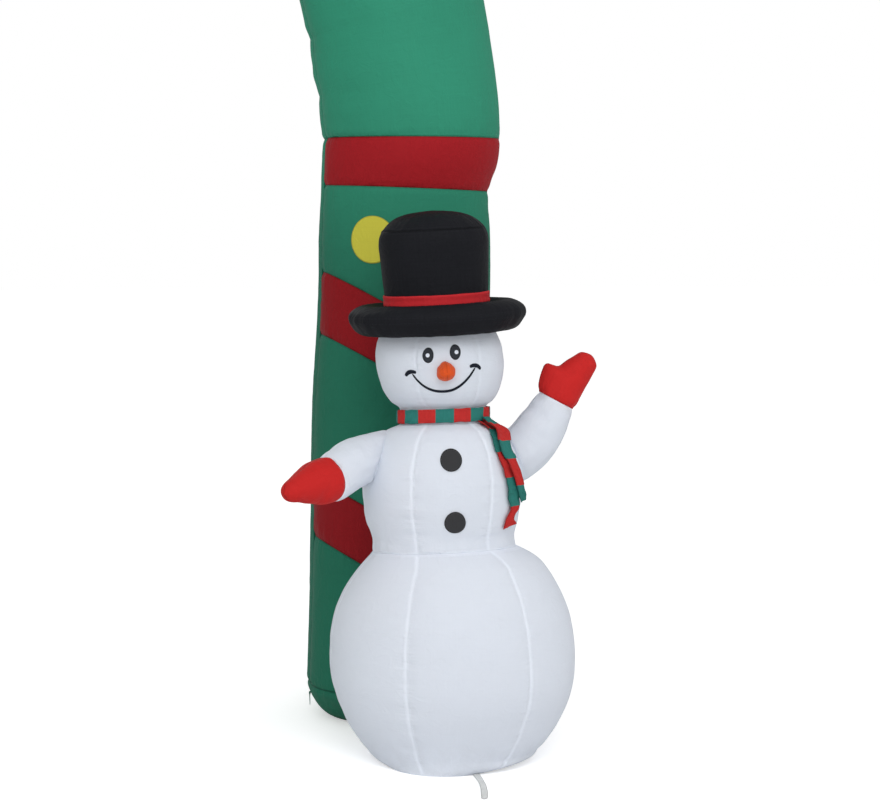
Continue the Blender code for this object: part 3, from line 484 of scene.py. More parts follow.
def leg_skin(angle, z, facing, shape, lift=0.0):
    """Points of a leg's cloth and the way to its nearest seam.

    The girth is drawn in at the side seams and, as a bell, at each cross seam; short folds stand square to every
    seam, and slow random waves lie over all of it.
    """
    girth = leg_girth(z)
    drawn = girth * side_draw(angle)
    x = leg_middle(z) + drawn * np.cos(angle)
    seams = FRONT_SEAMS if facing < 0 else BACK_SEAMS
    rooms = np.array([np.abs(z - (h + slope * (x - leg_middle(h)))) / math.hypot(1, slope) for h, slope in seams])
    cross, nearest = rooms.min(axis=0), rooms.argmin(axis=0)
    side, run = girth * np.minimum(angle, math.pi - angle), girth * angle
    relief = -shape.seam_pinch * bell(cross, CROSS_VALLEY) - 0.3 * shape.seam_pinch * bell(side, SIDE_VALLEY)
    relief += shape.fold_height * sum(short_folds(run, room, 11 + i, *CROSS_FOLDS) for i, room in enumerate(rooms))
    relief += side_folds(z, side, angle, (31, 32), shape)
    waves = random_heights(run / 0.16, z / 0.22 + 7 * facing, 5)
    relief += shape.wave_height * waves * soft_step(np.minimum(cross, side), 0.0, 0.07)
    out = drawn + relief + lift
    points = together(leg_middle(z) + out * np.cos(angle), facing * np.maximum(out * np.sin(angle), GAP / 2), z)
    return points, *nearer_seam(side, cross, z, run + 3.1 * nearest)


def half_round(make, rows, columns=96, chord=3):
    """A half tube closed by a flat: make(angle) gives points, seam marks and cloth coordinates for a row of angles.

    The angles crowd at the side seams; a few more columns cross back along the middle plane.
    """
    angle = np.broadcast_to(math.pi * crowded(columns + 1, 0.6), (rows, columns + 1))
    points, *marks, place = make(angle)
    back = np.linspace(1.0, 0.0, chord + 2)[1:-1]
    flat = points[:, :1] * (1 - back[None, :, None]) + points[:, -1:] * back[None, :, None]
    grid = np.concatenate((points, flat), axis=1)
    marks = (np.concatenate((mark, np.zeros((rows, chord))), axis=1) for mark in marks)
    place = np.concatenate((place, np.repeat(place[:, -1:], chord + 1, axis=1)), axis=1)
    place[:, columns + 1:, 0] += np.linspace(0.05, 0.3, chord + 1)
    return surface(grid, place, *marks)


def leg_panel(low, high, facing, mirror, shape, step):
    """The part of a leg's cloth between two cross seams, with a row of points at about every step."""
    rows = max(12, round((high[0] - low[0]) / step))
    share = crowded(rows, 0.45)[:, None]

    def make(angle):
        bottom, top = seam_height(angle[0], low) + GAP / 2, seam_height(angle[0], high) - GAP / 2
        z = bottom + share * (top - bottom)
        points, *marks = leg_skin(angle, z, facing, shape)
        points[..., 0] *= mirror
        return points, *marks, together(leg_girth(z) * angle, z)

    return half_round(make, rows)


def top_line():
    """The round top's middle line over its length, from the right band to the crown and down the other side.

    Shoulder rows, then points of an arc, joined by a smooth line; the left half is the right one mirrored.
    """
    pitch = (math.pi - 2 * FIRST_FOLD) / (FOLDS - 1)
    shoulder = np.array([(x, z, math.radians(lean)) for z, x, lean, _ in SHOULDER_ROWS])
    turns = np.arange(FIRST_FOLD - 0.28 * pitch, math.pi / 2, math.radians(4))
    turns = np.append(turns, math.pi / 2)
    arc = np.column_stack((ROUND_RADIUS * np.cos(turns), ROUND_Z + ROUND_RADIUS * np.sin(turns), turns))
    half = np.vstack((shoulder, arc))
    line = np.vstack((half, half[:-1][::-1] * (-1, 1, -1) + (0, 0, math.pi)))
    walked = along(line[:, :2])
    folded = np.array([walked[i] for i, row in enumerate(SHOULDER_ROWS) if row[3]])
    arc_folds = np.interp(FIRST_FOLD + pitch * np.arange(FOLDS), line[:, 2], walked)
    return np.column_stack((walked, line)), np.concatenate((folded, arc_folds, walked[-1] - folded[::-1]))


def buckles(angle, at, facing, folds, inner, depth):
    """The folds of the tube's inner side: at each the girth drops along a cusp exp(-(d / 26 mm)^1.2), and between
    them it swells a little; they wander, and reach round the tube by different amounts.
    """
    relief = np.zeros_like(angle)
    for i, fold in enumerate(folds):
        reach = 1.2 + 0.5 * (1 + float(random_heights(i + 0.5, 3.5, 71)))
        drop = depth * (1.0 + 0.22 * float(random_heights(i + 0.5, 9.5, 72)))
        drop *= 0.5 if i < 2 or i >= len(folds) - 2 else 1.0
        wander = 0.010 * random_heights(angle * 2.2, i + 0.5 + 3 * facing, 73) * np.sin(angle)
        off = np.abs(at - fold + wander)
        relief += inner ** reach * drop * (0.30 * bell(off, 0.10) - 1.25 * np.exp(-((off / 0.026) ** 1.2)))
    return relief


def top_skin(angle, at, facing, table, folds, shape):
    """Points of the round top's cloth at a length along it, and the way to its nearest seam."""
    x, z, turn = (through(table, i, at) for i in (1, 2, 3))
    end = np.minimum(at, table[-1, 0] - at)
    girth = TOP_TUBE + (LEG_ROWS[-1, 2] - TOP_TUBE) * bell(end, 0.05)
    side, run = girth * np.minimum(angle, math.pi - angle), girth * angle
    inner = np.clip(-np.cos(angle), 0.0, 1.0)
    relief = buckles(angle, at, facing, folds, inner, shape.buckle_depth)
    relief -= 0.3 * shape.seam_pinch * bell(side, SIDE_VALLEY) + shape.seam_pinch * bell(end, CROSS_VALLEY)
    relief += shape.fold_height * short_folds(run, end, 17, *CROSS_FOLDS)
    relief += side_folds(at, side, angle, (41, 42), shape)
    waves = random_heights(at / 0.20, run / 0.15 + 5 * facing, 6)
    relief += shape.wave_height * waves * soft_step(np.minimum(end, side), 0.0, 0.07)
    creases = random_heights(at / 0.026, run / 0.12, 44 + (facing > 0))
    relief += 0.7 * shape.fold_height * inner * creases * soft_step(side, 0.0, 0.03)
    radius = girth * side_draw(angle) + relief
    out, aside = radius * np.cos(angle), facing * np.maximum(radius * np.sin(angle), GAP / 2)
    return together(x + out * np.cos(turn), aside, z + out * np.sin(turn)), *nearer_seam(side, end, at, run)


def foot_dome(mirror, shape):
    """The ground piece: rings that shrink from the tube's girth to the flat, gathered below their seam."""
    columns, rows, cells = 192, 34, 86
    girth = leg_girth(FOOT_TOP)
    angle = full_circle(columns)
    walked = along(DOME_ROWS * (1.0, girth))
    at = np.linspace(0.0, walked[-1], rows)
    table = np.column_stack((walked, DOME_ROWS))
    z, share = np.clip(through(table, 1, at), 0.0, FOOT_TOP - GAP / 2), through(table, 2, at)
    room = (walked[-1] - at)[:, None] + 0 * angle
    radius = girth * side_draw(np.minimum(angle, FULL_TURN - angle)) * share[:, None]
    radius = radius - shape.seam_pinch * bell(room, CROSS_VALLEY)
    relief = 1.5 * shape.fold_height * short_folds(angle / FULL_TURN * cells, room, 12, 0.015, 0.045, cells)
    radius = radius + relief * soft_step(z, 0.0, 0.02)[:, None]
    grid = together((leg_middle(FOOT_TOP) + radius * np.cos(angle)) * mirror, radius * np.sin(angle), z[:, None])
    spot = together(girth * np.linspace(0.0, FULL_TURN, columns + 1), at[:, None])
    return surface(grid, spot, room, girth * angle, low="pole")


def patch(skin, radius, thick, wide=1.0, columns=64):
    """A round patch laid on a skin: rings from its middle out, over a rolled edge and back under it.

    skin(across, up, lift) gives the points; wide is the width over the height.
    """
    share = np.array((0.12, 0.35, 0.58, 0.78, 0.90, 0.965, 1.0, 1.0, 0.97, 0.85, 0.5, 0.12))[:, None]
    lift = np.array((1.0, 1.0, 1.0, 1.0, 0.97, 0.85, 0.60, 0.25, 0.05, 0.0, 0.0, 0.0))[:, None]
    turn = full_circle(columns)
    grid = skin(radius * wide * share * np.cos(turn), radius * share * np.sin(turn), lift * thick + 0 * turn)
    ends = np.linspace(0.0, FULL_TURN, columns + 1)
    spot = together(radius * share * np.cos(ends), radius * share * np.sin(ends))
    room = np.where(lift > 0.5, radius * (1 - share), 0.05)
    return surface(grid, spot, room, radius * turn, -1.0, low="pole", high="pole")


# ---------------------------------------------------------------- the snowman's body


def gore_seam(turn):
    """The angle from the nearest gore seam, in radians, and that seam's number."""
    place = (turn - FIGURE_TURN - FIRST_GORE_SEAM) / (FULL_TURN / GORES)
    nearest = np.round(place)
    return (place - nearest) * (FULL_TURN / GORES), nearest.astype(np.int64) % GORES


def tilted(points):
    """Tilt the rings at the waist and the neck, as they are sewn."""
    fore, side, z = FIGURE_Y - points[..., 1], points[..., 0] - TORSO_ROWS[0, 2], points[..., 2]
    raised = 0 * z
    for height, reach, rise, rise_fore, rise_side in RING_TILTS:
        raised += bell(z - height, reach) * (rise + rise_fore * fore + rise_side * side)
    return points + together(0 * z, 0 * z, raised)


def body_skin(rows, turn, z, shape, seed, lift=0.0):
    """Points of a gored body and the way to its nearest gore seam.

    The round is drawn in along each seam by a narrow and a wide bell; short folds stand square to the seams and to
    the rings where the body is sewn to its neighbours.
    """
    cells = 58
    radius, middle, forward = (through(rows, i, z) for i in (1, 2, 3))
    off, which = gore_seam(turn)
    room, spin = radius * np.abs(off), (turn - FIGURE_TURN) / FULL_TURN * cells
    low, high = np.abs(z - rows[0, 0]), np.abs(rows[-1, 0] - z)
    relief = -radius * (0.009 * bell(off, math.radians(3.0)) + 0.0035 * (1 + np.cos(GORES * off)))
    relief += shape.gore_fold * sum(
        short_folds(z, room, seed + number, 0.021, 0.028) * (which == number) for number in range(GORES)
    )
    for end, gather_seed in ((low, seed + 11), (high, seed + 12)):
        relief += shape.gather * short_folds(spin, end, gather_seed, 0.014, 0.022, cells)
    relief += 0.6 * shape.wave_height * random_heights(spin / cells * 9, z / 0.09, seed + 30, 9)
    ground = soft_step(z, 0.0, 0.03) if rows[0, 0] < 0.001 else 1.0
    radius = radius + relief * ground + lift
    points = tilted(together(middle + radius * np.sin(turn), FIGURE_Y - forward - radius * np.cos(turn), z))
    return points, *nearer_seam(room, np.minimum(low, high) + 0.001, z + 1.7 * which, spin * 0.014)


def even_heights(rows, count):
    """Heights of a body that lie evenly along its outline."""
    z = np.linspace(rows[0, 0], rows[-1, 0], 400)
    walked = along(np.column_stack((z, through(rows, 1, z))))
    return np.interp(crowded(count, 0.3) * walked[-1], walked, z)


def body(rows, columns, count, shape, seed, stop=None, slope=0.0, low="flat"):
    """A whole gored body as a closed surface; stop flattens its back, and slope tilts its last ring."""
    turn = FIGURE_TURN + np.linspace(-math.pi, math.pi, columns, endpoint=False)
    z = even_heights(rows, count)[:, None] + 0 * turn
    grid, *marks = body_skin(rows, turn + 0 * z, z, shape, seed)
    if stop is not None:
        grid[..., 1] = np.minimum(grid[..., 1], stop)
    if slope:
        top = soft_step(z, rows[-1, 0] - 0.03, rows[-1, 0])
        grid[..., 2] += top * slope * (grid[..., 0] - rows[-1, 2])
    spot = together(rows[:, 1].max() * np.linspace(-math.pi, math.pi, columns + 1), along(grid[:, 0])[:, None])
    return surface(grid, spot, *marks, low=low)


def figure_patch(rows, height, turn, shape, seed, away, taller=1.0):
    """A skin for patches on the figure's front: across and up from a place on the body, a little away from it."""
    def skin(across, up, lift):
        z = height + up * taller
        return body_skin(rows, turn + across / through(rows, 1, z), z, shape, seed, lift + away)[0]
    return skin


# ---------------------------------------------------------------- limbs


def limb(rows, start, end, columns, shape, seed, cuff, trim=None, tip="flat", thumb=None):
    """A limb round a smooth middle line, from a share start of its length to a share end.

    Each ring is square to the line. It is drawn in at the cuff seam, and folds lie across it. trim is a test of
    points: each column begins where it first comes out of the body, gathered there. thumb is how far one side
    reaches beyond the ring, by the way from the cuff.
    """
    count, cells = 84, 22
    line = resampled(rows, 200)
    walked = along(line[:, :3])
    ahead = np.gradient(line[:, :3], walked, axis=0)
    ahead /= np.linalg.norm(ahead, axis=1)[:, None]
    table = np.column_stack((walked, line, ahead))
    turn = full_circle(columns)
    begin, finish, cuff_at = (walked[-1] * share for share in (start, end, cuff))

    def rings(at, free=0.1):
        """Points for lengths along the limb, one for each ring and column."""
        x, y, z, wide, deep, *ahead = (through(table, i, at) for i in range(1, 9))
        ahead = together(*ahead)
        side = np.cross(ahead, (0.0, 1.0, 0.0))
        side /= np.linalg.norm(side, axis=-1, keepdims=True)
        front = np.cross(side, ahead)
        seam, spin = np.abs(at - cuff_at), turn / FULL_TURN * cells
        relief = -0.0030 * bell(seam, 0.007) - 0.0025 * bell(free, 0.008)
        relief = relief + 1.2 * shape.gather * short_folds(spin, seam, seed, 0.012, 0.020, cells)
        relief = relief + 2.4 * shape.gather * short_folds(spin, free, seed + 5, 0.012, 0.030, cells)
        relief = relief + 0.9 * shape.fold_height * random_heights(at / 0.022, np.cos(turn) * 1.6 + seed, seed + 1)
        relief = relief * soft_step(wide, 0.008, 0.035)
        if tip == "pole":
            left = np.clip((finish - at) / TIP_ROUND, 0.0, 1.0)
            shut = np.sqrt(np.maximum(left * (2 - left), 0.002))
            wide, deep, relief = wide * shut, deep * shut, relief * shut
        across = (wide + relief) * np.cos(turn)
        if thumb is not None:
            across = across + np.interp(at - cuff_at, *thumb.T) * np.clip(np.cos(turn), 0.0, 1.0) ** 1.4
        return together(x, y, z) + side * across[..., None] + front * ((deep + relief) * np.sin(turn))[..., None]

    first = np.full(columns, begin)
    if trim is not None:
        look = np.linspace(begin, finish, 240)[:, None] + 0 * turn
        first = look[trim(rings(look)).argmax(axis=0), np.arange(columns)]
        first = np.convolve(np.concatenate((first[-2:], first, first[:2])), np.ones(5) / 5, "valid")
    share = np.linspace(0.0, 1.0, count) if tip == "flat" else np.sin(np.linspace(0.0, math.pi / 2, count)) ** 0.9
    at = first + share[:, None] * (finish - first)
    free = at - first + 0.0005 if trim is not None else np.full_like(at, 0.1)
    room = np.minimum(np.abs(at - cuff_at), free)
    edge = np.min(np.abs(turn - math.pi * np.arange(3)[:, None]), axis=0) * 0.045 + 0 * at
    run, clear = np.where(room < edge, 0.05 * turn, at), soft_step(np.abs(room - edge), 0.001, 0.01)
    spot = together(0.05 * np.linspace(0.0, FULL_TURN, columns + 1), at[:, :1])
    return surface(rings(at, free), spot, np.minimum(room, edge), run, clear, high=tip)


def outside_torso(points):
    """True where points are outside the torso's round, or less than 1.5 mm inside it."""
    z = points[..., 2]
    radius = np.hypot(points[..., 0] - through(TORSO_ROWS, 2, z), points[..., 1] - FIGURE_Y)
    return radius > through(TORSO_ROWS, 1, z) - 0.0015


# ---------------------------------------------------------------- hat and scarf


def set_hat(radius, height, turn):
    """Points on the hat's own axis, leant to one side and set on the head."""
    x, y = radius * np.sin(turn), -radius * np.cos(turn)
    lean_x = x * math.cos(HAT_LEAN) + height * math.sin(HAT_LEAN)
    lean_z = -x * math.sin(HAT_LEAN) + height * math.cos(HAT_LEAN)
    return together(lean_x, y, lean_z) + HAT_AT


def turned(profile, count, relief, seam, low="flat", high="flat", ring=False):
    """A turned surface on the hat's axis: a smooth line through the profile, swept round, with folds along its normal.

    relief(spin, walked) gives the folds' height, spin counting turns, and seam is the length along the profile where
    it is sewn.
    """
    columns = 224
    closed = np.vstack((profile, profile[:1])) if ring else profile
    walked = along(closed)
    table = np.column_stack((walked, closed))
    at = np.linspace(0.0, walked[-1], count + 1)[:-1] if ring else crowded(count, 0.25) * walked[-1]
    radius, height = through(table, 1, at), through(table, 2, at)
    slope_r, slope_z = np.gradient(radius, at), np.gradient(height, at)
    size = np.hypot(slope_r, slope_z)
    turn = np.linspace(-math.pi, math.pi, columns, endpoint=False)
    push = relief(turn / FULL_TURN + 0.5, at[:, None])
    out = np.maximum(radius[:, None] + push * (slope_z / size)[:, None], 0.0005)
    grid = set_hat(out, height[:, None] - push * (slope_r / size)[:, None], turn)
    rows = np.append(at, walked[-1]) if ring else at
    spot = together(HAT_RADIUS * np.linspace(-math.pi, math.pi, columns + 1), rows[:, None])
    return surface(grid, spot, np.abs(at - seam)[:, None], HAT_RADIUS * turn, low=low, high=high, ring=ring)


def scarf_loop():
    """The ring round the neck: a flat section carried round, its edges ruffled by random heights."""
    columns, around = 14, 288
    turn = np.linspace(-math.pi, math.pi, around, endpoint=False)[:, None]
    spin = (turn + math.pi) / FULL_TURN
    section = full_circle(columns)
    up = np.sign(np.sin(section)) * np.abs(np.sin(section)) ** 0.6
    middle, half, thick = 0.5 * (SCARF_LOW + SCARF_HIGH), 0.5 * (SCARF_HIGH - SCARF_LOW), SCARF_THICK / 2
    crease = 0.0010 * random_heights(spin * 46, up * 1.2, 91, 46) + 0.0008 * random_heights(spin * 90, up, 92, 90)
    radius = SCARF_IN + thick + thick * np.cos(section) + np.clip(crease, -0.0004, 0.0016) + 0.0006 * np.abs(up)
    height = middle + half * up * (0.97 + 0.05 * random_heights(spin * 40, 0.5 + 0 * up, 93, 40))
    x = radius * np.sin(turn)
    grid = tilted(together(SCARF_AT + x, FIGURE_Y - radius * np.cos(turn), height + SCARF_SLOPE * x))
    rows = np.linspace(-math.pi, math.pi, around + 1)[:, None]
    blocks = (rows - SCARF_FIRST_BLOCK) * SCARF_BLOCKS / FULL_TURN + 2 * SCARF_BLOCKS + 1
    spot = together(0.02 * np.linspace(0.0, FULL_TURN, columns + 1), blocks)
    return surface(grid, spot, half * (1 - np.abs(up)) + 0.001, 0.102 * turn, -1.0, ring=True)


def off_torso(distance, height, room):
    """Push points, given by their distance from the torso's axis and height, until they have room to its outside.

    The torso below the neck is convex, so the largest distance to the lines through its rows is the distance to it.
    """
    radius, level = TORSO_ROWS[1:-1, 1], TORSO_ROWS[1:-1, 0]
    run, rise = np.diff(radius), np.diff(level)
    length = np.hypot(run, rise)
    out, up = rise / length, -run / length
    lines = (distance[..., None] - radius[:-1]) * out + (height[..., None] - level[:-1]) * up
    nearest = lines.argmax(axis=-1)
    push = np.maximum(room - lines.max(axis=-1), 0.0)
    return distance + push * out[nearest], height + push * up[nearest]


def scarf_tail(table, blocks, sides, frills, foot, seed):
    """A hanging end: rows down the cloth, pushed clear of the body, its edges ruffled and its foot on a slant.

    sides is the room kept below its left and right sides, and frills how far their edges are ruffled.
    """
    rows, columns, foot_long = 88, 19, 0.02
    table = table[::-1]
    z = np.linspace(table[-1, 0], table[0, 0], rows)
    turn, out, half, facing = (through(table, i, z)[:, None] for i in (1, 2, 3, 4))
    turn, facing = np.radians(turn), np.radians(facing)
    across = np.linspace(-1.0, 1.0, columns)
    level = z[:, None] + 0 * across
    down = np.interp(-z, -np.array(blocks), np.arange(len(blocks)))[:, None]
    edge_heights = random_heights(level / 0.013, np.sign(across) + 0.5, seed)
    ruffle = np.interp(across, (-1.0, 1.0), frills) * np.abs(across) ** 2.2 * (0.6 + 0.6 * edge_heights)
    gather = 0.0020 * random_heights(level / 0.016, across * 1.6, seed + 1)
    gather += 0.0012 * np.cos(across * math.pi * 1.5 + level * 160)
    reach = through(TORSO_ROWS, 1, level) + out + np.maximum(gather, -0.0004)
    jut = 0.16 * (down % 1.0 - 0.5) + 0.10 * random_heights(z[:, None] / 0.012, np.sign(across) + 0.5, seed + 2)
    half = half * (1.0 + jut)
    off_x = reach * np.sin(turn) + across * half * np.cos(facing)
    off_y = -reach * np.cos(turn) + across * half * np.sin(facing)
    distance = np.hypot(off_x, off_y)
    room = TAIL_CLEAR + TAIL_THICK / 2 + np.interp(across, (-1.0, 1.0), sides) + ruffle
    pushed, level = off_torso(distance, level, room)
    share = pushed / distance
    grid = together(through(TORSO_ROWS, 2, level) + off_x * share, FIGURE_Y + off_y * share, level)
    grid[..., 2] += soft_step(-z, -z[-1] - foot_long, -z[-1])[:, None] * np.linspace(*foot, columns)
    spot, edge = together(across * 0.02, down + 1.0), half * (1 - np.abs(across)) + 0.001
    return surface(tilted(grid), spot, edge, level, -1.0, wrap=False, low="open", high="open")


def ground_strap():
    """The webbing loop: a flat section with thick sewn edges, carried along a gently bent line with a round end."""
    rows, columns, kept = 70, 20, 56
    share = np.linspace(0.0, 1.0, rows)
    reach = STRAP_TO - STRAP_FROM
    square = np.array((-reach[1], reach[0])) / np.linalg.norm(reach)
    middle = STRAP_FROM + share[:, None] * reach + (STRAP_BEND * np.sin(share * math.pi))[:, None] * square
    ahead = np.gradient(middle, axis=0)
    ahead /= np.linalg.norm(ahead, axis=1)[:, None]
    side = np.column_stack((-ahead[:, 1], ahead[:, 0]))
    section = full_circle(columns)
    wide = np.sign(np.cos(section)) * np.abs(np.cos(section)) ** 0.55
    tall = np.sin(section)
    to_end = np.linalg.norm(middle - middle[-1], axis=1)
    half = STRAP_WIDE / 2 * np.sqrt(np.clip(1 - np.clip(1 - to_end / (STRAP_WIDE / 2), 0, 1) ** 2, 0.02, 1))
    half = half[:, None] * (1 + 0.07 * random_heights(share[:, None] * 14, 0.5 + 0 * wide, 95))
    thick = STRAP_THICK / 2 * (0.72 + 0.28 * np.abs(wide) ** 3)
    rise = 0.0006 * (1 + random_heights(share[:, None] * 11, wide * 1.5, 96))
    grid = np.empty((rows, columns, 3))
    grid[..., :2] = middle[:, None] + side[:, None] * (half * wide)[..., None]
    grid[..., 2] = GAP + STRAP_THICK / 2 + thick * tall + rise * (tall > -0.5)
    first = (np.hypot(grid[..., 0] - BALL_FOOT[0], grid[..., 1] - BALL_FOOT[1]) > BALL_FOOT_RADIUS).argmax(axis=0)
    take = first + np.linspace(0, 1, kept)[:, None] * (rows - 1 - first)
    low = np.floor(take).astype(int).clip(0, rows - 2)
    part, column = (take - low)[..., None], np.arange(columns)
    grid = grid[low, column] * (1 - part) + grid[low + 1, column] * part
    at = np.linspace(0, 0.23, kept)[:, None]
    spot = together(0.009 * np.linspace(-2, 2, columns + 1), at)
    return surface(grid, spot, STRAP_WIDE / 2 * (1 - np.abs(wide)), at, -1.0)


def seam_tab():
    """The tab in the foot's side seam: a narrow strip whose head is wider than its tail, a little curled."""
    rows, columns, head_out = 40, 16, 0.0026
    share = np.linspace(0.0, 1.0, rows)[:, None]
    section = full_circle(columns)
    half = np.interp(share, (0.0, 0.08, 0.20, 0.30, 1.0), (0.0012, head_out, 0.0022, 0.0012, 0.0008))
    z = TAB_TOP - TAB_LONG * share
    girth = leg_girth(FOOT_TOP) * (1 - SIDE_SEAM_DRAW) * through(DOME_ROWS, 1, np.minimum(z, FOOT_TOP))
    skin = leg_middle(FOOT_TOP) - girth
    x = np.minimum(skin[0] - GAP - head_out, skin - GAP - half) + half * np.cos(section)
    y = 0.0010 * np.sin(section) + 0.0012 * np.sin(share * 5)
    return surface(together(x, y, z), together(0.002 * np.linspace(0, 6, columns + 1), z))


def print_line(skin, path, width, lift):
    """A printed stroke on the head: a thin strip along a smooth path, widest in its middle.

    skin(turn, height, lift) gives the points, and path is rows of height and turn in degrees.
    """
    dense = resampled(np.column_stack((path[:, 1] * PER_DEGREE, path[:, 0], 0 * path[:, 0])), 60)
    step = np.gradient(dense[:, :2], axis=0)
    step /= np.linalg.norm(step, axis=1)[:, None]
    share = np.linspace(0.0, 1.0, len(dense))
    half = 0.5 * width * (0.60 + 0.40 * np.sin(math.pi * share) ** 0.7)
    half = (half * np.sqrt(np.clip(np.minimum(share, 1 - share) * 30, 0.05, 1)))[:, None]
    side = np.array((-1.0, -0.6, 0.0, 0.6, 1.0, 0.0))
    high = np.array((0.3, 1.0, 1.0, 1.0, 0.3, 0.0)) * lift
    at_x = dense[:, :1] - step[:, 1:] * half * side
    at_z = dense[:, 1:2] + step[:, :1] * half * side
    grid = skin(np.radians(at_x / PER_DEGREE), at_z, high + 0 * at_x)
    return surface(grid, together(0.001 * np.arange(7), share[:, None] * 0.1))


# ---------------------------------------------------------------- finishes


def put(tree, kind, inputs=(), **settings):
    """A node with its settings and its inputs, each a value or the socket that feeds it."""
    node = tree.nodes.new(kind)
    for name, value in settings.items():
        setattr(node, name, value)
    for name, value in dict(inputs).items():
        if isinstance(value, bpy.types.NodeSocket):
            tree.links.new(value, node.inputs[name])
        else:
            node.inputs[name].default_value = value
    return node


def calc(tree, operation, *values):
    """The result of a Math node."""
    return put(tree, "ShaderNodeMath", dict(enumerate(values)), operation=operation).outputs[0]


def ramp(tree, value, low, high, start=0.0, end=1.0):
    """A smooth rise from start to end as the value goes from low to high."""
    fed = {"Value": value, "From Min": low, "From Max": high, "To Min": start, "To Max": end}
    return put(tree, "ShaderNodeMapRange", fed, interpolation_type="SMOOTHSTEP").outputs["Result"]


def noise(tree, place, scale, detail, **more):
    """The value of a noise texture at a place."""
    fed = {"Vector": place, "Scale": scale, "Detail": detail, **more}
    return put(tree, "ShaderNodeTexNoise", fed).outputs["Fac"]


def make_weave(group, fed):
    """Plain weave: the product of two sines over the cloth, and slow slubs that lighten or darken threads."""
    split = put(group, "ShaderNodeSeparateXYZ", {"Vector": fed["Place"]})
    threads = [calc(group, "DIVIDE", split.outputs[i], fed["Thread"]) for i in (0, 1)]
    waves = [calc(group, "SINE", calc(group, "MULTIPLY", count, math.pi)) for count in threads]
    slubs = []
    for x, y in ((300.0, 9.0), (9.0, 300.0)):
        moved = put(group, "ShaderNodeMapping", {"Vector": fed["Place"], "Scale": (x, y, 1.0)})
        slubs.append(noise(group, moved.outputs[0], 1.0, 1.0))
    return calc(group, "MULTIPLY", *waves), calc(group, "SUBTRACT", calc(group, "ADD", *slubs), 1.0)


def make_seam(group, fed):
    """A sewn seam: a groove on the seam line, a row of stitches beside it and fine puckers that fade away from it."""
    groove = ramp(group, fed["Room"], 0.0004, fed["Reach"], 1.0, 0.0)
    away = calc(group, "ABSOLUTE", calc(group, "SUBTRACT", fed["Room"], fed["Beside"]))
    on_line = ramp(group, away, 0.0004, 0.0010, 1.0, 0.0)
    dash = calc(group, "LESS_THAN", calc(group, "FRACT", calc(group, "DIVIDE", fed["Run"], fed["Stitch"])), 0.66)
    whole = ramp(group, calc(group, "ABSOLUTE", fed["Clear"]), 0.0, 0.3)
    stitches = calc(group, "MULTIPLY", calc(group, "MULTIPLY", on_line, dash), whole)
    run, room = (calc(group, "MULTIPLY", fed[name], scale) for name, scale in (("Run", 95.0), ("Room", 17.0)))
    both = put(group, "ShaderNodeCombineXYZ", {"X": run, "Y": room}).outputs[0]
    fine = noise(group, both, 1.0, 2.0, Roughness=0.5)
    fade = calc(group, "MULTIPLY", ramp(group, fed["Room"], 0.0, 0.045, 1.0, 0.0), ramp(group, fed["Room"], 0.0, 0.004))
    fade = calc(group, "MULTIPLY", fade, calc(group, "MAXIMUM", fed["Clear"], 0.0))
    return groove, stitches, calc(group, "MULTIPLY", calc(group, "SUBTRACT", fine, 0.5), fade)


def make_uneven(group, fed):
    """Uneven cloth: broad soft clouds of tone, and fine creases of low relief."""
    spread = calc(group, "DIVIDE", 1.0, fed["Size"])
    cloud = noise(group, fed["Place"], spread, 2.0)
    crease = noise(group, fed["Place"], calc(group, "MULTIPLY", spread, 6.0), 3.0, Distortion=0.6)
    ridge = calc(group, "ABSOLUTE", calc(group, "SUBTRACT", crease, 0.5))
    return calc(group, "SUBTRACT", cloud, 0.5), ramp(group, ridge, 0.0, 0.10, 1.0, 0.0)


def make_dust(group, fed):
    """Ground dust: a broken mask that is full at the ground and gone a hand's breadth above it."""
    height = put(group, "ShaderNodeSeparateXYZ", {"Vector": fed["Place"]}).outputs["Z"]
    fade = ramp(group, height, 0.0, fed["Reach"], 1.0, 0.0)
    return (calc(group, "MULTIPLY", fade, ramp(group, noise(group, fed["Place"], 28.0, 3.0), 0.35, 0.70)),)


def make_blocks(group, fed):
    """Blocks of two colours: every other whole step of a count along the cloth."""
    return (calc(group, "MODULO", calc(group, "FLOOR", fed["Count"]), 2.0),)


# each shared effect: how it is made, its inputs with their defaults, and its outputs; Place is a vector
EFFECTS = {
    "plain_weave": (make_weave, {"Place": None, "Thread": 0.0012}, ("Height", "Tone")),
    "sewn_seam": (
        make_seam, {"Room": 1.0, "Run": 0.0, "Clear": 1.0, "Reach": 0.0032, "Beside": 0.006, "Stitch": 0.0055},
        ("Groove", "Stitches", "Puckers"),
    ),
    "uneven_cloth": (make_uneven, {"Place": None, "Size": 0.25}, ("Tone", "Creases")),
    "ground_dust": (make_dust, {"Place": None, "Reach": 0.10}, ("Mask",)),
    "colour_blocks": (make_blocks, {"Count": 0.0}, ("Mask",)),
}


def placed(tree, name, inputs):
    """One use of a shared effect, whose node group is made at its first use."""
    if name not in bpy.data.node_groups:
        make, given, results = EFFECTS[name]
        group = bpy.data.node_groups.new(name, "ShaderNodeTree")
        for title, value in given.items():
            kind = "NodeSocketVector" if value is None else "NodeSocketFloat"
            socket = group.interface.new_socket(title, in_out="INPUT", socket_type=kind)
            if value is not None:
                socket.default_value = value
        for title in results:
            group.interface.new_socket(title, in_out="OUTPUT", socket_type="NodeSocketFloat")
        made = make(group, group.nodes.new("NodeGroupInput").outputs)
        taken = group.nodes.new("NodeGroupOutput").inputs
        for title, result in zip(results, made):
            group.links.new(result, taken[title])
    return put(tree, "ShaderNodeGroup", inputs, node_tree=bpy.data.node_groups[name]).outputs


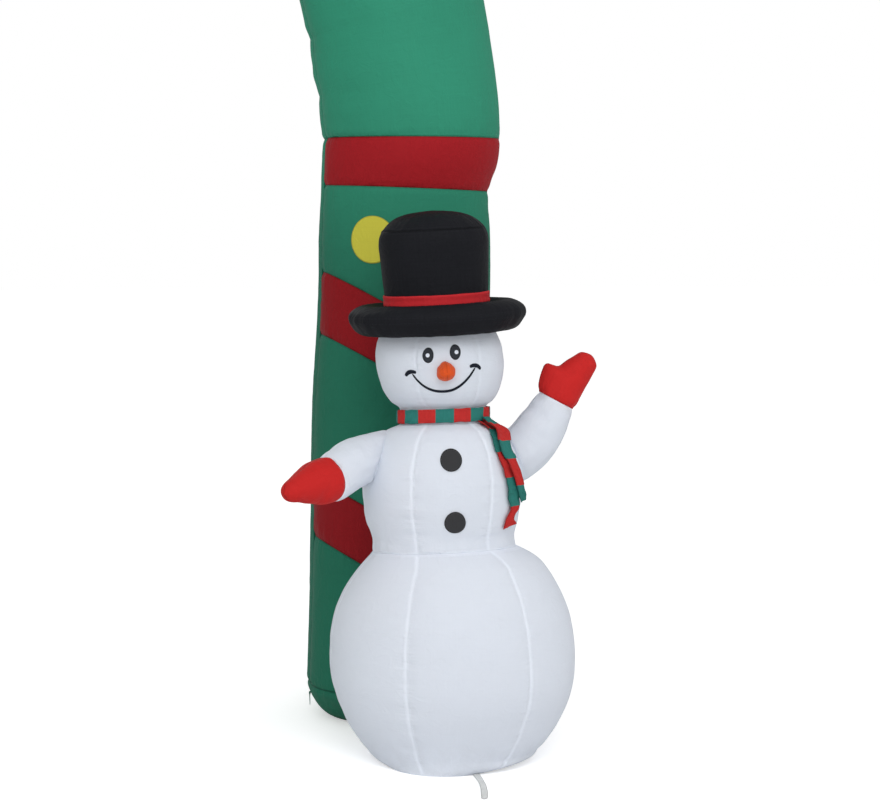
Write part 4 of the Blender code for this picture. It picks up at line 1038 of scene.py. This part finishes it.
def mixed(tree, share, first, second, blend="MIX"):
    """Two colours mixed by a share."""
    node = tree.nodes.new("ShaderNodeMix")
    node.data_type, node.blend_type = "RGBA", blend
    for index, value in ((0, share), (6, first), (7, second)):
        if isinstance(value, bpy.types.NodeSocket):
            tree.links.new(value, node.inputs[index])
        else:
            node.inputs[index].default_value = value if index == 0 else (*value, 1.0)[:4]
    return node.outputs[2]


SNOW = {
    "seam_tone": 1.18, "seam_reach": 0.0082, "stitch_tone": 1.10, "slub": 0.02, "cloud": 0.05, "crease": 0.0003,
    "soil": 0.08, "see_through": 0.10,
}
# how each cloth differs from the common one
LOOKS = {
    # deep darkens the green and the stripes on the legs towards the ground: painted shade
    "green": {"cloud": 0.20, "deep": 0.56, "soil": 0.2},
    "stripe": {"deep": 0.68},
    "dot": {"beside": 0.004},
    "white": SNOW,
    # the head's cloth is a darker copy of the snow white: painted shade of the hat on the head
    "head": {**SNOW, "seam_tone": 1.07, "stitch_tone": 1.04},
    "mitten": {},
    "hat": {
        "roughness": 0.50, "shine": 0.025, "slub": 0.2, "soil": 0.0, "cloud": 0.4, "stitch_tone": 1.6, "pucker": 0.4,
    },
    "hat_band": {"soil": 0.0},
    "scarf": {
        "second": "scarf_red", "crease": 0.0010, "soil": 0.0, "roughness": 0.7, "thread": 0.0016, "stitch_tone": 0.7,
    },
    "button": {"roughness": 0.85, "beside": 0.0028, "soil": 0.0, "stitch_tone": 2.2, "seam_tone": 0.6},
    "nose": {"roughness": 0.75, "sheen": 0.1, "crease": 0.0009, "soil": 0.0, "seam_tone": 0.7},
    "webbing": {"thread": 0.0016, "beside": 0.0022, "seam_tone": 0.8, "soil": 0.10, "see_through": 0.1},
    "ink": {"crease": 0.0, "soil": 0.0},
    "eye_ink": {"crease": 0.0, "soil": 0.0},
}


def get_cloth(name):
    """The named cloth, made once from the panel's colours."""
    found = bpy.data.materials.get("cloth_" + name)
    return found or cloth(name, bpy.context.scene.archway_colours, bpy.context.scene.archway_finish, **LOOKS[name])


def cloth(name, colours, finish, roughness=0.62, sheen=0.0, shine=0.08, seam_tone=0.55, seam_reach=0.0032,
          stitch_tone=1.25, slub=0.08, cloud=0.16, crease=0.0004, thread=0.0012, soil=0.35, deep=1.0, second=None,
          beside=0.006, see_through=0.0, pucker=1.0):
    """A woven cloth: its hue with slubs, clouds, seams, stitches and dust; its threads, puckers and creases in relief.

    deep is its tone on the legs, rising to 1 at the round top: painted shade that darkens the legs towards the ground;
    second names the colour of every other block.
    """
    material = bpy.data.materials.new("cloth_" + name)
    material.use_nodes = True
    tree = material.node_tree
    shader = tree.nodes["Principled BSDF"]

    def times(first, other):
        return calc(tree, "MULTIPLY", first, other)

    def plus(first, other):
        return calc(tree, "ADD", first, other)

    own = put(tree, "ShaderNodeUVMap", uv_map="cloth").outputs["UV"]
    spot = put(tree, "ShaderNodeTexCoord").outputs["Object"]
    threads = placed(tree, "plain_weave", {"Place": spot if second else own, "Thread": thread})
    marks = {
        title: put(tree, "ShaderNodeAttribute", attribute_name="seam_" + title.lower()).outputs["Fac"]
        for title in ("Room", "Run", "Clear")
    }
    sewn = placed(tree, "sewn_seam", {**marks, "Reach": seam_reach, "Beside": beside})
    clouds = placed(tree, "uneven_cloth", {"Place": spot, "Size": finish.cloud_size})
    dusty = placed(tree, "ground_dust", {"Place": spot})["Mask"]

    colour = tuple(getattr(colours, name))
    if second:
        count = put(tree, "ShaderNodeSeparateXYZ", {"Vector": own}).outputs["Y"]
        share = placed(tree, "colour_blocks", {"Count": count})["Mask"]
        colour = mixed(tree, share, colour, tuple(getattr(colours, second)))
    tone = plus(1.0, plus(times(threads["Tone"], slub), times(clouds["Tone"], cloud)))
    # painted shade: the tone falls from 1 at 1.5 m to deep at 1 m and below, darker towards the ground
    if deep < 1.0:
        height = put(tree, "ShaderNodeSeparateXYZ", {"Vector": spot}).outputs["Z"]
        tone = times(tone, ramp(tree, height, 1.0, 1.5, deep, 1.0))
    grey = put(tree, "ShaderNodeCombineXYZ", {"X": tone, "Y": tone, "Z": tone}).outputs[0]
    colour = mixed(tree, 1.0, colour, grey, "MULTIPLY")
    for mark, share, part in (("Groove", 0.75, seam_tone), ("Stitches", 0.45, stitch_tone)):
        colour = mixed(tree, times(sewn[mark], share), colour, (part,) * 3, "MULTIPLY")
    colour = mixed(tree, times(dusty, soil), colour, tuple(finish.dust_colour))
    tree.links.new(colour, shader.inputs["Base Color"])

    rough = plus(roughness, times(plus(clouds["Tone"], times(dusty, 0.3)), 0.25))
    tree.links.new(rough, shader.inputs["Roughness"])
    relief = times(threads["Height"], 0.00006)
    for height, scale in (
        (sewn["Puckers"], pucker * finish.pucker_relief), (sewn["Groove"], -0.0009), (sewn["Stitches"], 0.0003),
        (clouds["Creases"], crease),
    ):
        relief = plus(relief, times(height, scale))
    bump = put(tree, "ShaderNodeBump", {"Height": relief, "Distance": 1.0, "Strength": 1.0})
    tree.links.new(bump.outputs[0], shader.inputs["Normal"])
    plain = {"Sheen Weight": sheen, "Sheen Roughness": 0.45, "Specular IOR Level": shine}
    if see_through:
        plain |= {"Subsurface Weight": see_through, "Subsurface Scale": 0.03, "Subsurface Radius": (1.0, 1.0, 1.0)}
    for title, value in plain.items():
        shader.inputs[title].default_value = value
    return material


# ---------------------------------------------------------------- what a user may change


def colour(name, description, default):
    return bpy.props.FloatVectorProperty(
        name=name, description=description, default=default, subtype="COLOR", size=3, min=0.0, max=1.0,
    )


def number(name, description, default, **settings):
    return bpy.props.FloatProperty(name=name, description=description, default=default, min=0.0, **settings)


def length(name, description, default):
    return number(name, description, default, unit="LENGTH", precision=4)


class ARCHWAY_PG_colours(bpy.types.PropertyGroup):
    """The cloths' colours."""
    green: colour("Tube green", "The archway's cloth", (0.034, 0.272, 0.168))
    stripe: colour("Stripe red", "The band and the slanting stripes", (0.370, 0.0125, 0.0180))
    dot: colour("Dot yellow", "The round patches on the legs", (0.560, 0.520, 0.060))
    white: colour("Snow white", "The snowman's cloth", (0.725, 0.765, 0.840))
    # a darker copy of the snow white: painted shade of the hat on the head
    head: colour("Head white", "The head's cloth", (0.700, 0.742, 0.815))
    mitten: colour("Mitten red", "The mittens' cloth", (0.565, 0.021, 0.020))
    hat: colour("Hat black", "The hat's cloth", (0.0140, 0.0145, 0.0175))
    hat_band: colour("Hat ribbon red", "The ribbon round the hat", (0.570, 0.025, 0.032))
    scarf: colour("Scarf green", "Every other block of the scarf", (0.029, 0.190, 0.163))
    scarf_red: colour("Scarf red", "The scarf's other blocks", (0.520, 0.030, 0.028))
    button: colour("Button charcoal", "The buttons' felt", (0.044, 0.044, 0.047))
    nose: colour("Nose orange", "The nose's cloth", (0.740, 0.095, 0.020))
    webbing: colour("Webbing white", "The loop at the ball's foot", (0.780, 0.790, 0.780))
    ink: colour("Smile ink", "The printed smile", (0.014, 0.017, 0.026))
    eye_ink: colour("Eye ink", "The printed eyes", (0.036, 0.040, 0.048))


class ARCHWAY_PG_shape(bpy.types.PropertyGroup):
    """How the filled cloth is drawn in and folded."""
    seam_pinch: length("Seam draw", "How far a cross seam is drawn in", 0.0036)
    fold_height: length("Fold height", "Short folds beside the tube's seams", 0.0021)
    wave_height: length("Wave height", "Slow waves over the cloth", 0.0024)
    buckle_depth: length("Buckle depth", "The folds on the round top's inner side", 0.0090)
    gore_fold: length("Gore fold height", "Short folds beside the snowman's gore seams", 0.0026)
    gather: length("Gather height", "Gathers where the snowman's parts are sewn together", 0.0026)


class ARCHWAY_PG_finish(bpy.types.PropertyGroup):
    """The cloths' finish, shared by all of them."""
    cloud_size: length("Cloud size", "The size of the soft clouds of tone", 0.25)
    pucker_relief: length("Pucker relief", "The relief of the fine puckers at a seam", 0.0028)
    dust_colour: colour("Dust colour", "Ground dust", (0.130, 0.120, 0.100))


class ARCHWAY_PG_stage(bpy.types.PropertyGroup):
    """The stage's light and camera."""
    floor: colour("Floor", "The floor's colour", (0.930, 0.935, 0.940))
    key_power: number("Key light", "Power of the large light above the viewer", 88.0, unit="POWER")
    fill_power: number("Fill light", "Power of each softer light round the stage", 24.0, unit="POWER")
    glow: number("Floor glow", "How far the floor is lifted towards white", 0.46, subtype="FACTOR")
    sky: number("Sky light", "Strength of the sky before the arch", 0.80, subtype="FACTOR")
    sky_behind: number("Sky light behind", "Strength of the sky behind the arch", 0.44, subtype="FACTOR")
    lens: number("Lens", "The camera's focal length on a 36 mm sensor", 97.35, unit="CAMERA")


# ---------------------------------------------------------------- operators


class ARCHWAY_OT_legs(bpy.types.Operator):
    """Sew the legs: their feet, front pieces, back panels and round patches"""
    bl_idname = "archway.legs"
    bl_label = "Legs"

    def execute(self, context):
        shape = context.scene.archway_shape
        for side, mirror in (("right", 1.0), ("left", -1.0)):
            filled("foot_cloth_" + side, foot_dome(mirror, shape), "green", "foot_" + side)
            for (name, hue), low, high in zip(FRONT_PIECES, FRONT_SEAMS, FRONT_SEAMS[1:]):
                panel = leg_panel(low, high, -1.0, mirror, shape, 0.0052)
                filled(f"{name}_cloth_{side}", panel, hue, f"{name}_{side}")
            filled("back_cloth_" + side, leg_panel(*BACK_SEAMS, 1.0, mirror, shape, 0.0080), "green", "back_" + side)

            def skin(across, up, lift):
                angle = math.pi / 2 - DOT_TURN - across / leg_girth(DOT_HEIGHT)
                points = leg_skin(angle, DOT_HEIGHT + up, -1.0, shape, lift + PATCH_LIFT)[0]
                points[..., 0] *= mirror
                return points

            dot = add_piece("dot_cloth_" + side, patch(skin, DOT_RADIUS, PATCH_THICK, columns=96), "dot", "dot_" + side)
        tab = add_piece("tab_cloth", seam_tab(), "green", "foot_tab")
        return {"FINISHED"}


class ARCHWAY_OT_round_top(bpy.types.Operator):
    """Sew the round top's front and back, with the buckle folds on its inner side"""
    bl_idname = "archway.round_top"
    bl_label = "Round top"

    def execute(self, context):
        shape = context.scene.archway_shape
        table, folds = top_line()
        rows = 370
        at = (crowded(rows, 0.1) * table[-1, 0])[:, None]
        for name, facing in (("front", -1.0), ("back", 1.0)):
            def make(angle):
                points, *marks = top_skin(angle, at + 0 * angle, facing, table, folds, shape)
                return points, *marks, together(TOP_TUBE * angle, at)
            filled("top_cloth_" + name, half_round(make, rows), "green", "top_" + name)
        return {"FINISHED"}


class ARCHWAY_OT_body(bpy.types.Operator):
    """Sew the snowman's ball, torso and head from gores"""
    bl_idname = "archway.snowman_body"
    bl_label = "Snowman's body"

    def execute(self, context):
        shape = context.scene.archway_shape
        ball = body(BALL_ROWS, 288, 150, shape, BALL_SEED, stop=LEG_FRONT - GAP, low="pole")
        filled("ball_cloth", ball, "white", "ball")
        filled("torso_cloth", body(TORSO_ROWS, 216, 84, shape, TORSO_SEED), "white", "torso")
        # the head takes the darker head cloth: painted shade of the hat
        filled("head_cloth", body(HEAD_ROWS, 204, 64, shape, HEAD_SEED, slope=math.tan(-HAT_LEAN)), "head", "head")
        return {"FINISHED"}


class ARCHWAY_OT_arms(bpy.types.Operator):
    """Sew the snowman's arms and mittens"""
    bl_idname = "archway.snowman_arms"
    bl_label = "Arms and mittens"

    def execute(self, context):
        shape = context.scene.archway_shape
        for side, arm, mitten, thumb, seed in (
            ("left", ARM_LEFT, MITTEN_LEFT, None, 401), ("right", ARM_RIGHT, MITTEN_RIGHT, THUMB_RIGHT, 451),
        ):
            rows = np.vstack((arm, mitten))
            walked = along(rows[:, :3])
            cuff, half = walked[len(arm) - 1] / walked[-1], GAP / 2 / walked[-1]
            sleeve = limb(rows, 0.0, cuff - half, 128, shape, seed, cuff, trim=outside_torso)
            filled("arm_cloth_" + side, sleeve, "white", "arm_" + side)
            hand = limb(rows, cuff + half, 1.0, 96, shape, seed, cuff, tip="pole", thumb=thumb)
            filled("mitten_cloth_" + side, hand, "mitten", "mitten_" + side)
        return {"FINISHED"}


class ARCHWAY_OT_hat(bpy.types.Operator):
    """Sew the hat's brim, crown, top and ribbon"""
    bl_idname = "archway.snowman_hat"
    bl_label = "Hat"

    def execute(self, context):
        gather = context.scene.archway_shape.gather
        brim_edge, crown_end = along(BRIM_PROFILE)[BRIM_EDGE], along(CROWN_PROFILE)[-1]

        def brim_folds(spin, at):
            outer = soft_step(at, 0.12, 0.17) * (1 - soft_step(at, 0.27, 0.33))
            edge = np.abs(at - brim_edge)
            tucks = gather * 0.9 * short_folds(spin * 84, edge, 503, 0.013, 0.016, 84) - 0.0018 * bell(edge, 0.006)
            waves = gather * 0.3 * random_heights(spin * 60, at / 0.05, 502, 60)
            return outer * (0.0009 * random_heights(spin * 14, at / 0.018, 501, 14) + tucks + waves)

        def crown_folds(spin, at):
            top, low = np.abs(at - crown_end), np.maximum(at - 0.024, 0.0)
            upper = gather * 0.6 * short_folds(spin * 54, top, 511, 0.013, 0.026, 54)
            lower = gather * 0.5 * short_folds(spin * 54, low, 512, 0.013, 0.024, 54) * (at > 0.024)
            waves = 0.0012 * random_heights(spin * 12, at / 0.07, 513, 12)
            return upper + lower + waves * soft_step(low, 0.0, 0.02) * soft_step(top, 0.0, 0.02)

        def top_folds(spin, at):
            return gather * 0.9 * short_folds(spin * 54, at, 511, 0.013, 0.030, 54) * (1 - soft_step(at, 0.07, 0.12))

        def ribbon_folds(spin, at):
            return 0.0005 * random_heights(spin * 40, at / 0.012, 521, 40)

        brim = turned(BRIM_PROFILE, 96, brim_folds, brim_edge, low="pole", high="pole")
        filled("brim_cloth", brim, "hat", "hat_brim")
        filled("crown_cloth", turned(CROWN_PROFILE, 64, crown_folds, crown_end), "hat", "hat_crown")
        filled("hat_top_cloth", turned(TOP_PROFILE, 34, top_folds, 0.0, high="pole"), "hat", "hat_top")
        ribbon = turned(RIBBON_PROFILE, 20, ribbon_folds, 0.0, ring=True)
        band = add_piece("hat_ribbon_cloth", ribbon, "hat_band", "hat_ribbon")
        return {"FINISHED"}


class ARCHWAY_OT_scarf(bpy.types.Operator):
    """Hang the scarf: the ring round the neck and its two ends"""
    bl_idname = "archway.snowman_scarf"
    bl_label = "Scarf"

    def execute(self, context):
        loop = add_piece("scarf_ring_cloth", scarf_loop(), "scarf", "scarf_ring")
        for name, *rows, flat in TAILS:
            tail = add_piece("scarf_end_cloth_" + name, scarf_tail(*rows), "scarf", "scarf_end_" + name)
            thick = tail.modifiers.new("cloth", "SOLIDIFY")
            thick.thickness, thick.offset = TAIL_THICK, 0.0
        return {"FINISHED"}


class ARCHWAY_OT_face(bpy.types.Operator):
    """Print the eyes and smile, and sew on the nose and buttons"""
    bl_idname = "archway.snowman_face"
    bl_label = "Face and buttons"

    def execute(self, context):
        shape = context.scene.archway_shape
        for side, height, turn, pupil in EYES:
            skin, pupil_skin = (
                figure_patch(HEAD_ROWS, height, math.radians(at), shape, HEAD_SEED, away)
                for at, away in ((turn, PRINT_LIFT), (pupil, PRINT_LIFT + EYE_THICK))
            )
            eye = patch(skin, EYE_HALF[1], EYE_THICK, wide=EYE_HALF[0] / EYE_HALF[1], columns=48)
            add_piece("eye_print_" + side, eye, "eye_ink")
            add_piece("pupil_print_" + side, patch(pupil_skin, PUPIL_RADIUS, PUPIL_THICK, columns=32), "white")

        def head_skin(turn, height, lift):
            return body_skin(HEAD_ROWS, turn, height, shape, HEAD_SEED, lift + PRINT_LIFT)[0]

        add_piece("smile_print", print_line(head_skin, SMILE, SMILE_WIDE, SMILE_THICK), "ink")
        for side, path in CHEEKS:
            cheek = print_line(head_skin, path, CHEEK_WIDE, CHEEK_THICK)
            add_piece("cheek_print_" + side, cheek, "ink")
        for name, height, turn, radius, taller in BUTTONS:
            skin = figure_patch(TORSO_ROWS, height, turn, shape, TORSO_SEED, PATCH_LIFT, taller)
            piece = add_piece(name + "_cloth", patch(skin, radius, PATCH_THICK, columns=72), "button", name)
        filled("nose_cloth", self.nose(), "nose", "nose")
        return {"FINISHED"}

    def nose(self):
        """A short soft cone on the head: rings that shrink outwards, drawn up to a point at their upper side."""
        turn = full_circle(72)
        walked = along(NOSE_PROFILE)
        table = np.column_stack((walked, NOSE_PROFILE))
        at = np.linspace(0.0, walked[-1], 34)[:, None] + 0 * turn
        radius, out = through(table, 1, at), through(table, 2, at)
        radius = radius * np.interp(np.degrees(turn), *NOSE_OUTLINE.T)
        folds = 0.0010 * random_heights(turn / FULL_TURN * 14, at / 0.013, 701, 14)
        radius = radius + folds * soft_step(radius, 0.002, 0.012)
        height = NOSE_HEIGHT + radius * np.sin(turn) - 0.0035 * (out / 0.041) ** 2
        side = NOSE_TURN + radius * np.cos(turn) / 0.137
        reach = through(HEAD_ROWS, 1, height) * 0.985 + out
        grid = together(through(HEAD_ROWS, 2, height) + reach * np.sin(side), FIGURE_Y - reach * np.cos(side), height)
        spot = together(0.018 * np.linspace(0, FULL_TURN, 73), at[:, :1])
        return surface(grid, spot, np.abs(np.cos(turn)) * radius + 0.001, at, -1.0, high="pole")


class ARCHWAY_OT_strap(bpy.types.Operator):
    """Lay the webbing loop on the ground at the ball's foot"""
    bl_idname = "archway.ground_strap"
    bl_label = "Webbing loop"

    def execute(self, context):
        strap = add_piece("strap_cloth", ground_strap(), "webbing", "tie_strap")
        return {"FINISHED"}


class ARCHWAY_OT_stage(bpy.types.Operator):
    """Set out the pale floor, the soft lights and the camera"""
    bl_idname = "archway.stage"
    bl_label = "Stage"

    def execute(self, context):
        stage, scene = context.scene.archway_stage, context.scene
        self.floor(stage)
        self.lamps(stage)
        scene.world = self.sky(stage)
        scene.view_settings.view_transform = "Standard"
        data = bpy.data.cameras.new("camera")
        data.sensor_fit, data.sensor_width, data.lens = "HORIZONTAL", 36.0, stage.lens
        camera = add_object("camera", data)
        camera.location = (MIDDLE[0], MIDDLE[1] - CAMERA_OUT, CAMERA_HEIGHT)
        camera.rotation_mode = "XYZ"
        camera.rotation_euler = CAMERA_TURN
        scene.camera = camera
        return {"FINISHED"}

    def floor(self, stage):
        """A wide pale floor, lifted towards white where the camera sees it."""
        count, reach = 13, 30
        line, level = np.linspace(-reach, reach, count), -0.0005
        points = together(*np.meshgrid(line, line), level).reshape(-1, 3)
        faces = four_corners(np.arange(count * count).reshape(count, count)).reshape(-1, 4)
        mesh = bpy.data.meshes.new("floor")
        mesh.from_pydata(points, [], faces.tolist())
        floor = add_object("floor", mesh)
        pale = bpy.data.materials.new("pale_floor")
        pale.use_nodes = True
        tree = pale.node_tree
        shader = tree.nodes["Principled BSDF"]
        uneven_share = noise(tree, put(tree, "ShaderNodeTexCoord").outputs["Object"], 1.5, 2.0)
        tone = mixed(tree, uneven_share, tuple(0.985 * part for part in stage.floor), tuple(stage.floor))
        tree.links.new(tone, shader.inputs["Base Color"])
        seen = put(tree, "ShaderNodeLightPath").outputs["Is Camera Ray"]
        tree.links.new(mixed(tree, seen, (0.0, 0.0, 0.0), (stage.glow,) * 3), shader.inputs["Emission Color"])
        for title, value in (("Roughness", 0.9), ("Specular IOR Level", 0.1), ("Emission Strength", 1.0)):
            shader.inputs[title].default_value = value
        mesh.materials.append(pale)

    def lamps(self, stage):
        """Four round lamps that look at the snowman's chest."""
        middle = np.add((MIDDLE[0], MIDDLE[1], 0.0), LAMPS_LOOK_AT)
        for name, place, size, power, share in LAMPS:
            lamp = bpy.data.lights.new(name + "_light", "AREA")
            lamp.shape, lamp.size, lamp.energy = "DISK", size, share * getattr(stage, power)
            source = add_object(name + "_light", lamp)
            source.location = place
            source.rotation_euler = Matrix(aim(np.subtract(middle, place))).to_euler()

    def sky(self, stage):
        """A sky that is white to the camera, and lights the front more than the back."""
        world = bpy.data.worlds.new("studio")
        world.use_nodes = True
        tree = world.node_tree
        seen = put(tree, "ShaderNodeLightPath").outputs["Is Camera Ray"]
        ahead = put(tree, "ShaderNodeTexCoord").outputs["Generated"]
        depth = put(tree, "ShaderNodeSeparateXYZ", {"Vector": ahead}).outputs["Y"]
        strength = ramp(tree, depth, -1.0, 1.0, stage.sky, stage.sky_behind)
        lit = put(tree, "ShaderNodeCombineXYZ", {"X": strength, "Y": strength, "Z": strength}).outputs[0]
        tree.links.new(mixed(tree, seen, lit, (1.0, 1.0, 1.0)), tree.nodes["Background"].inputs["Color"])
        return world


def aim(towards):
    """The rows of a turn that points -Z along a direction and keeps +Y upwards."""
    ahead = np.asarray(towards, float) / np.linalg.norm(towards)
    side = np.cross(ahead, (0.0, 0.0, 1.0))
    side /= np.linalg.norm(side)
    return np.column_stack((side, np.cross(side, ahead), -ahead)).tolist()


class ARCHWAY_PT_panel(bpy.types.Panel):
    """The archway's settings and its makers"""
    bl_idname = "ARCHWAY_PT_panel"
    bl_label = "Inflatable archway"
    bl_space_type = "VIEW_3D"
    bl_region_type = "UI"
    bl_category = "Archway"

    def draw(self, context):
        for title, group in zip(("Colours", "Cloth shape", "Finish", "Stage"), SETTINGS):
            box = self.layout.box()
            box.label(text=title)
            settings = getattr(context.scene, group)
            for name in settings.__annotations__:
                box.prop(settings, name)
        for operator in OPERATORS:
            self.layout.operator(operator.bl_idname)


OPERATORS = (
    ARCHWAY_OT_legs, ARCHWAY_OT_round_top, ARCHWAY_OT_body, ARCHWAY_OT_arms, ARCHWAY_OT_hat, ARCHWAY_OT_scarf,
    ARCHWAY_OT_face, ARCHWAY_OT_strap, ARCHWAY_OT_stage,
)
SETTINGS = {
    "archway_colours": ARCHWAY_PG_colours, "archway_shape": ARCHWAY_PG_shape,
    "archway_finish": ARCHWAY_PG_finish, "archway_stage": ARCHWAY_PG_stage,
}


def register():
    for kind in (*SETTINGS.values(), *OPERATORS, ARCHWAY_PT_panel):
        bpy.utils.register_class(kind)
    for name, kind in SETTINGS.items():
        setattr(bpy.types.Scene, name, bpy.props.PointerProperty(type=kind))


def unregister():
    for name in SETTINGS:
        delattr(bpy.types.Scene, name)
    for kind in reversed((*SETTINGS.values(), *OPERATORS, ARCHWAY_PT_panel)):
        bpy.utils.unregister_class(kind)


def main():
    register()
    for operator in OPERATORS:
        group, name = operator.bl_idname.split(".")
        if getattr(getattr(bpy.ops, group), name)() != {"FINISHED"}:
            raise RuntimeError(operator.bl_label + " was not finished")


if __name__ == "__main__":
    main()
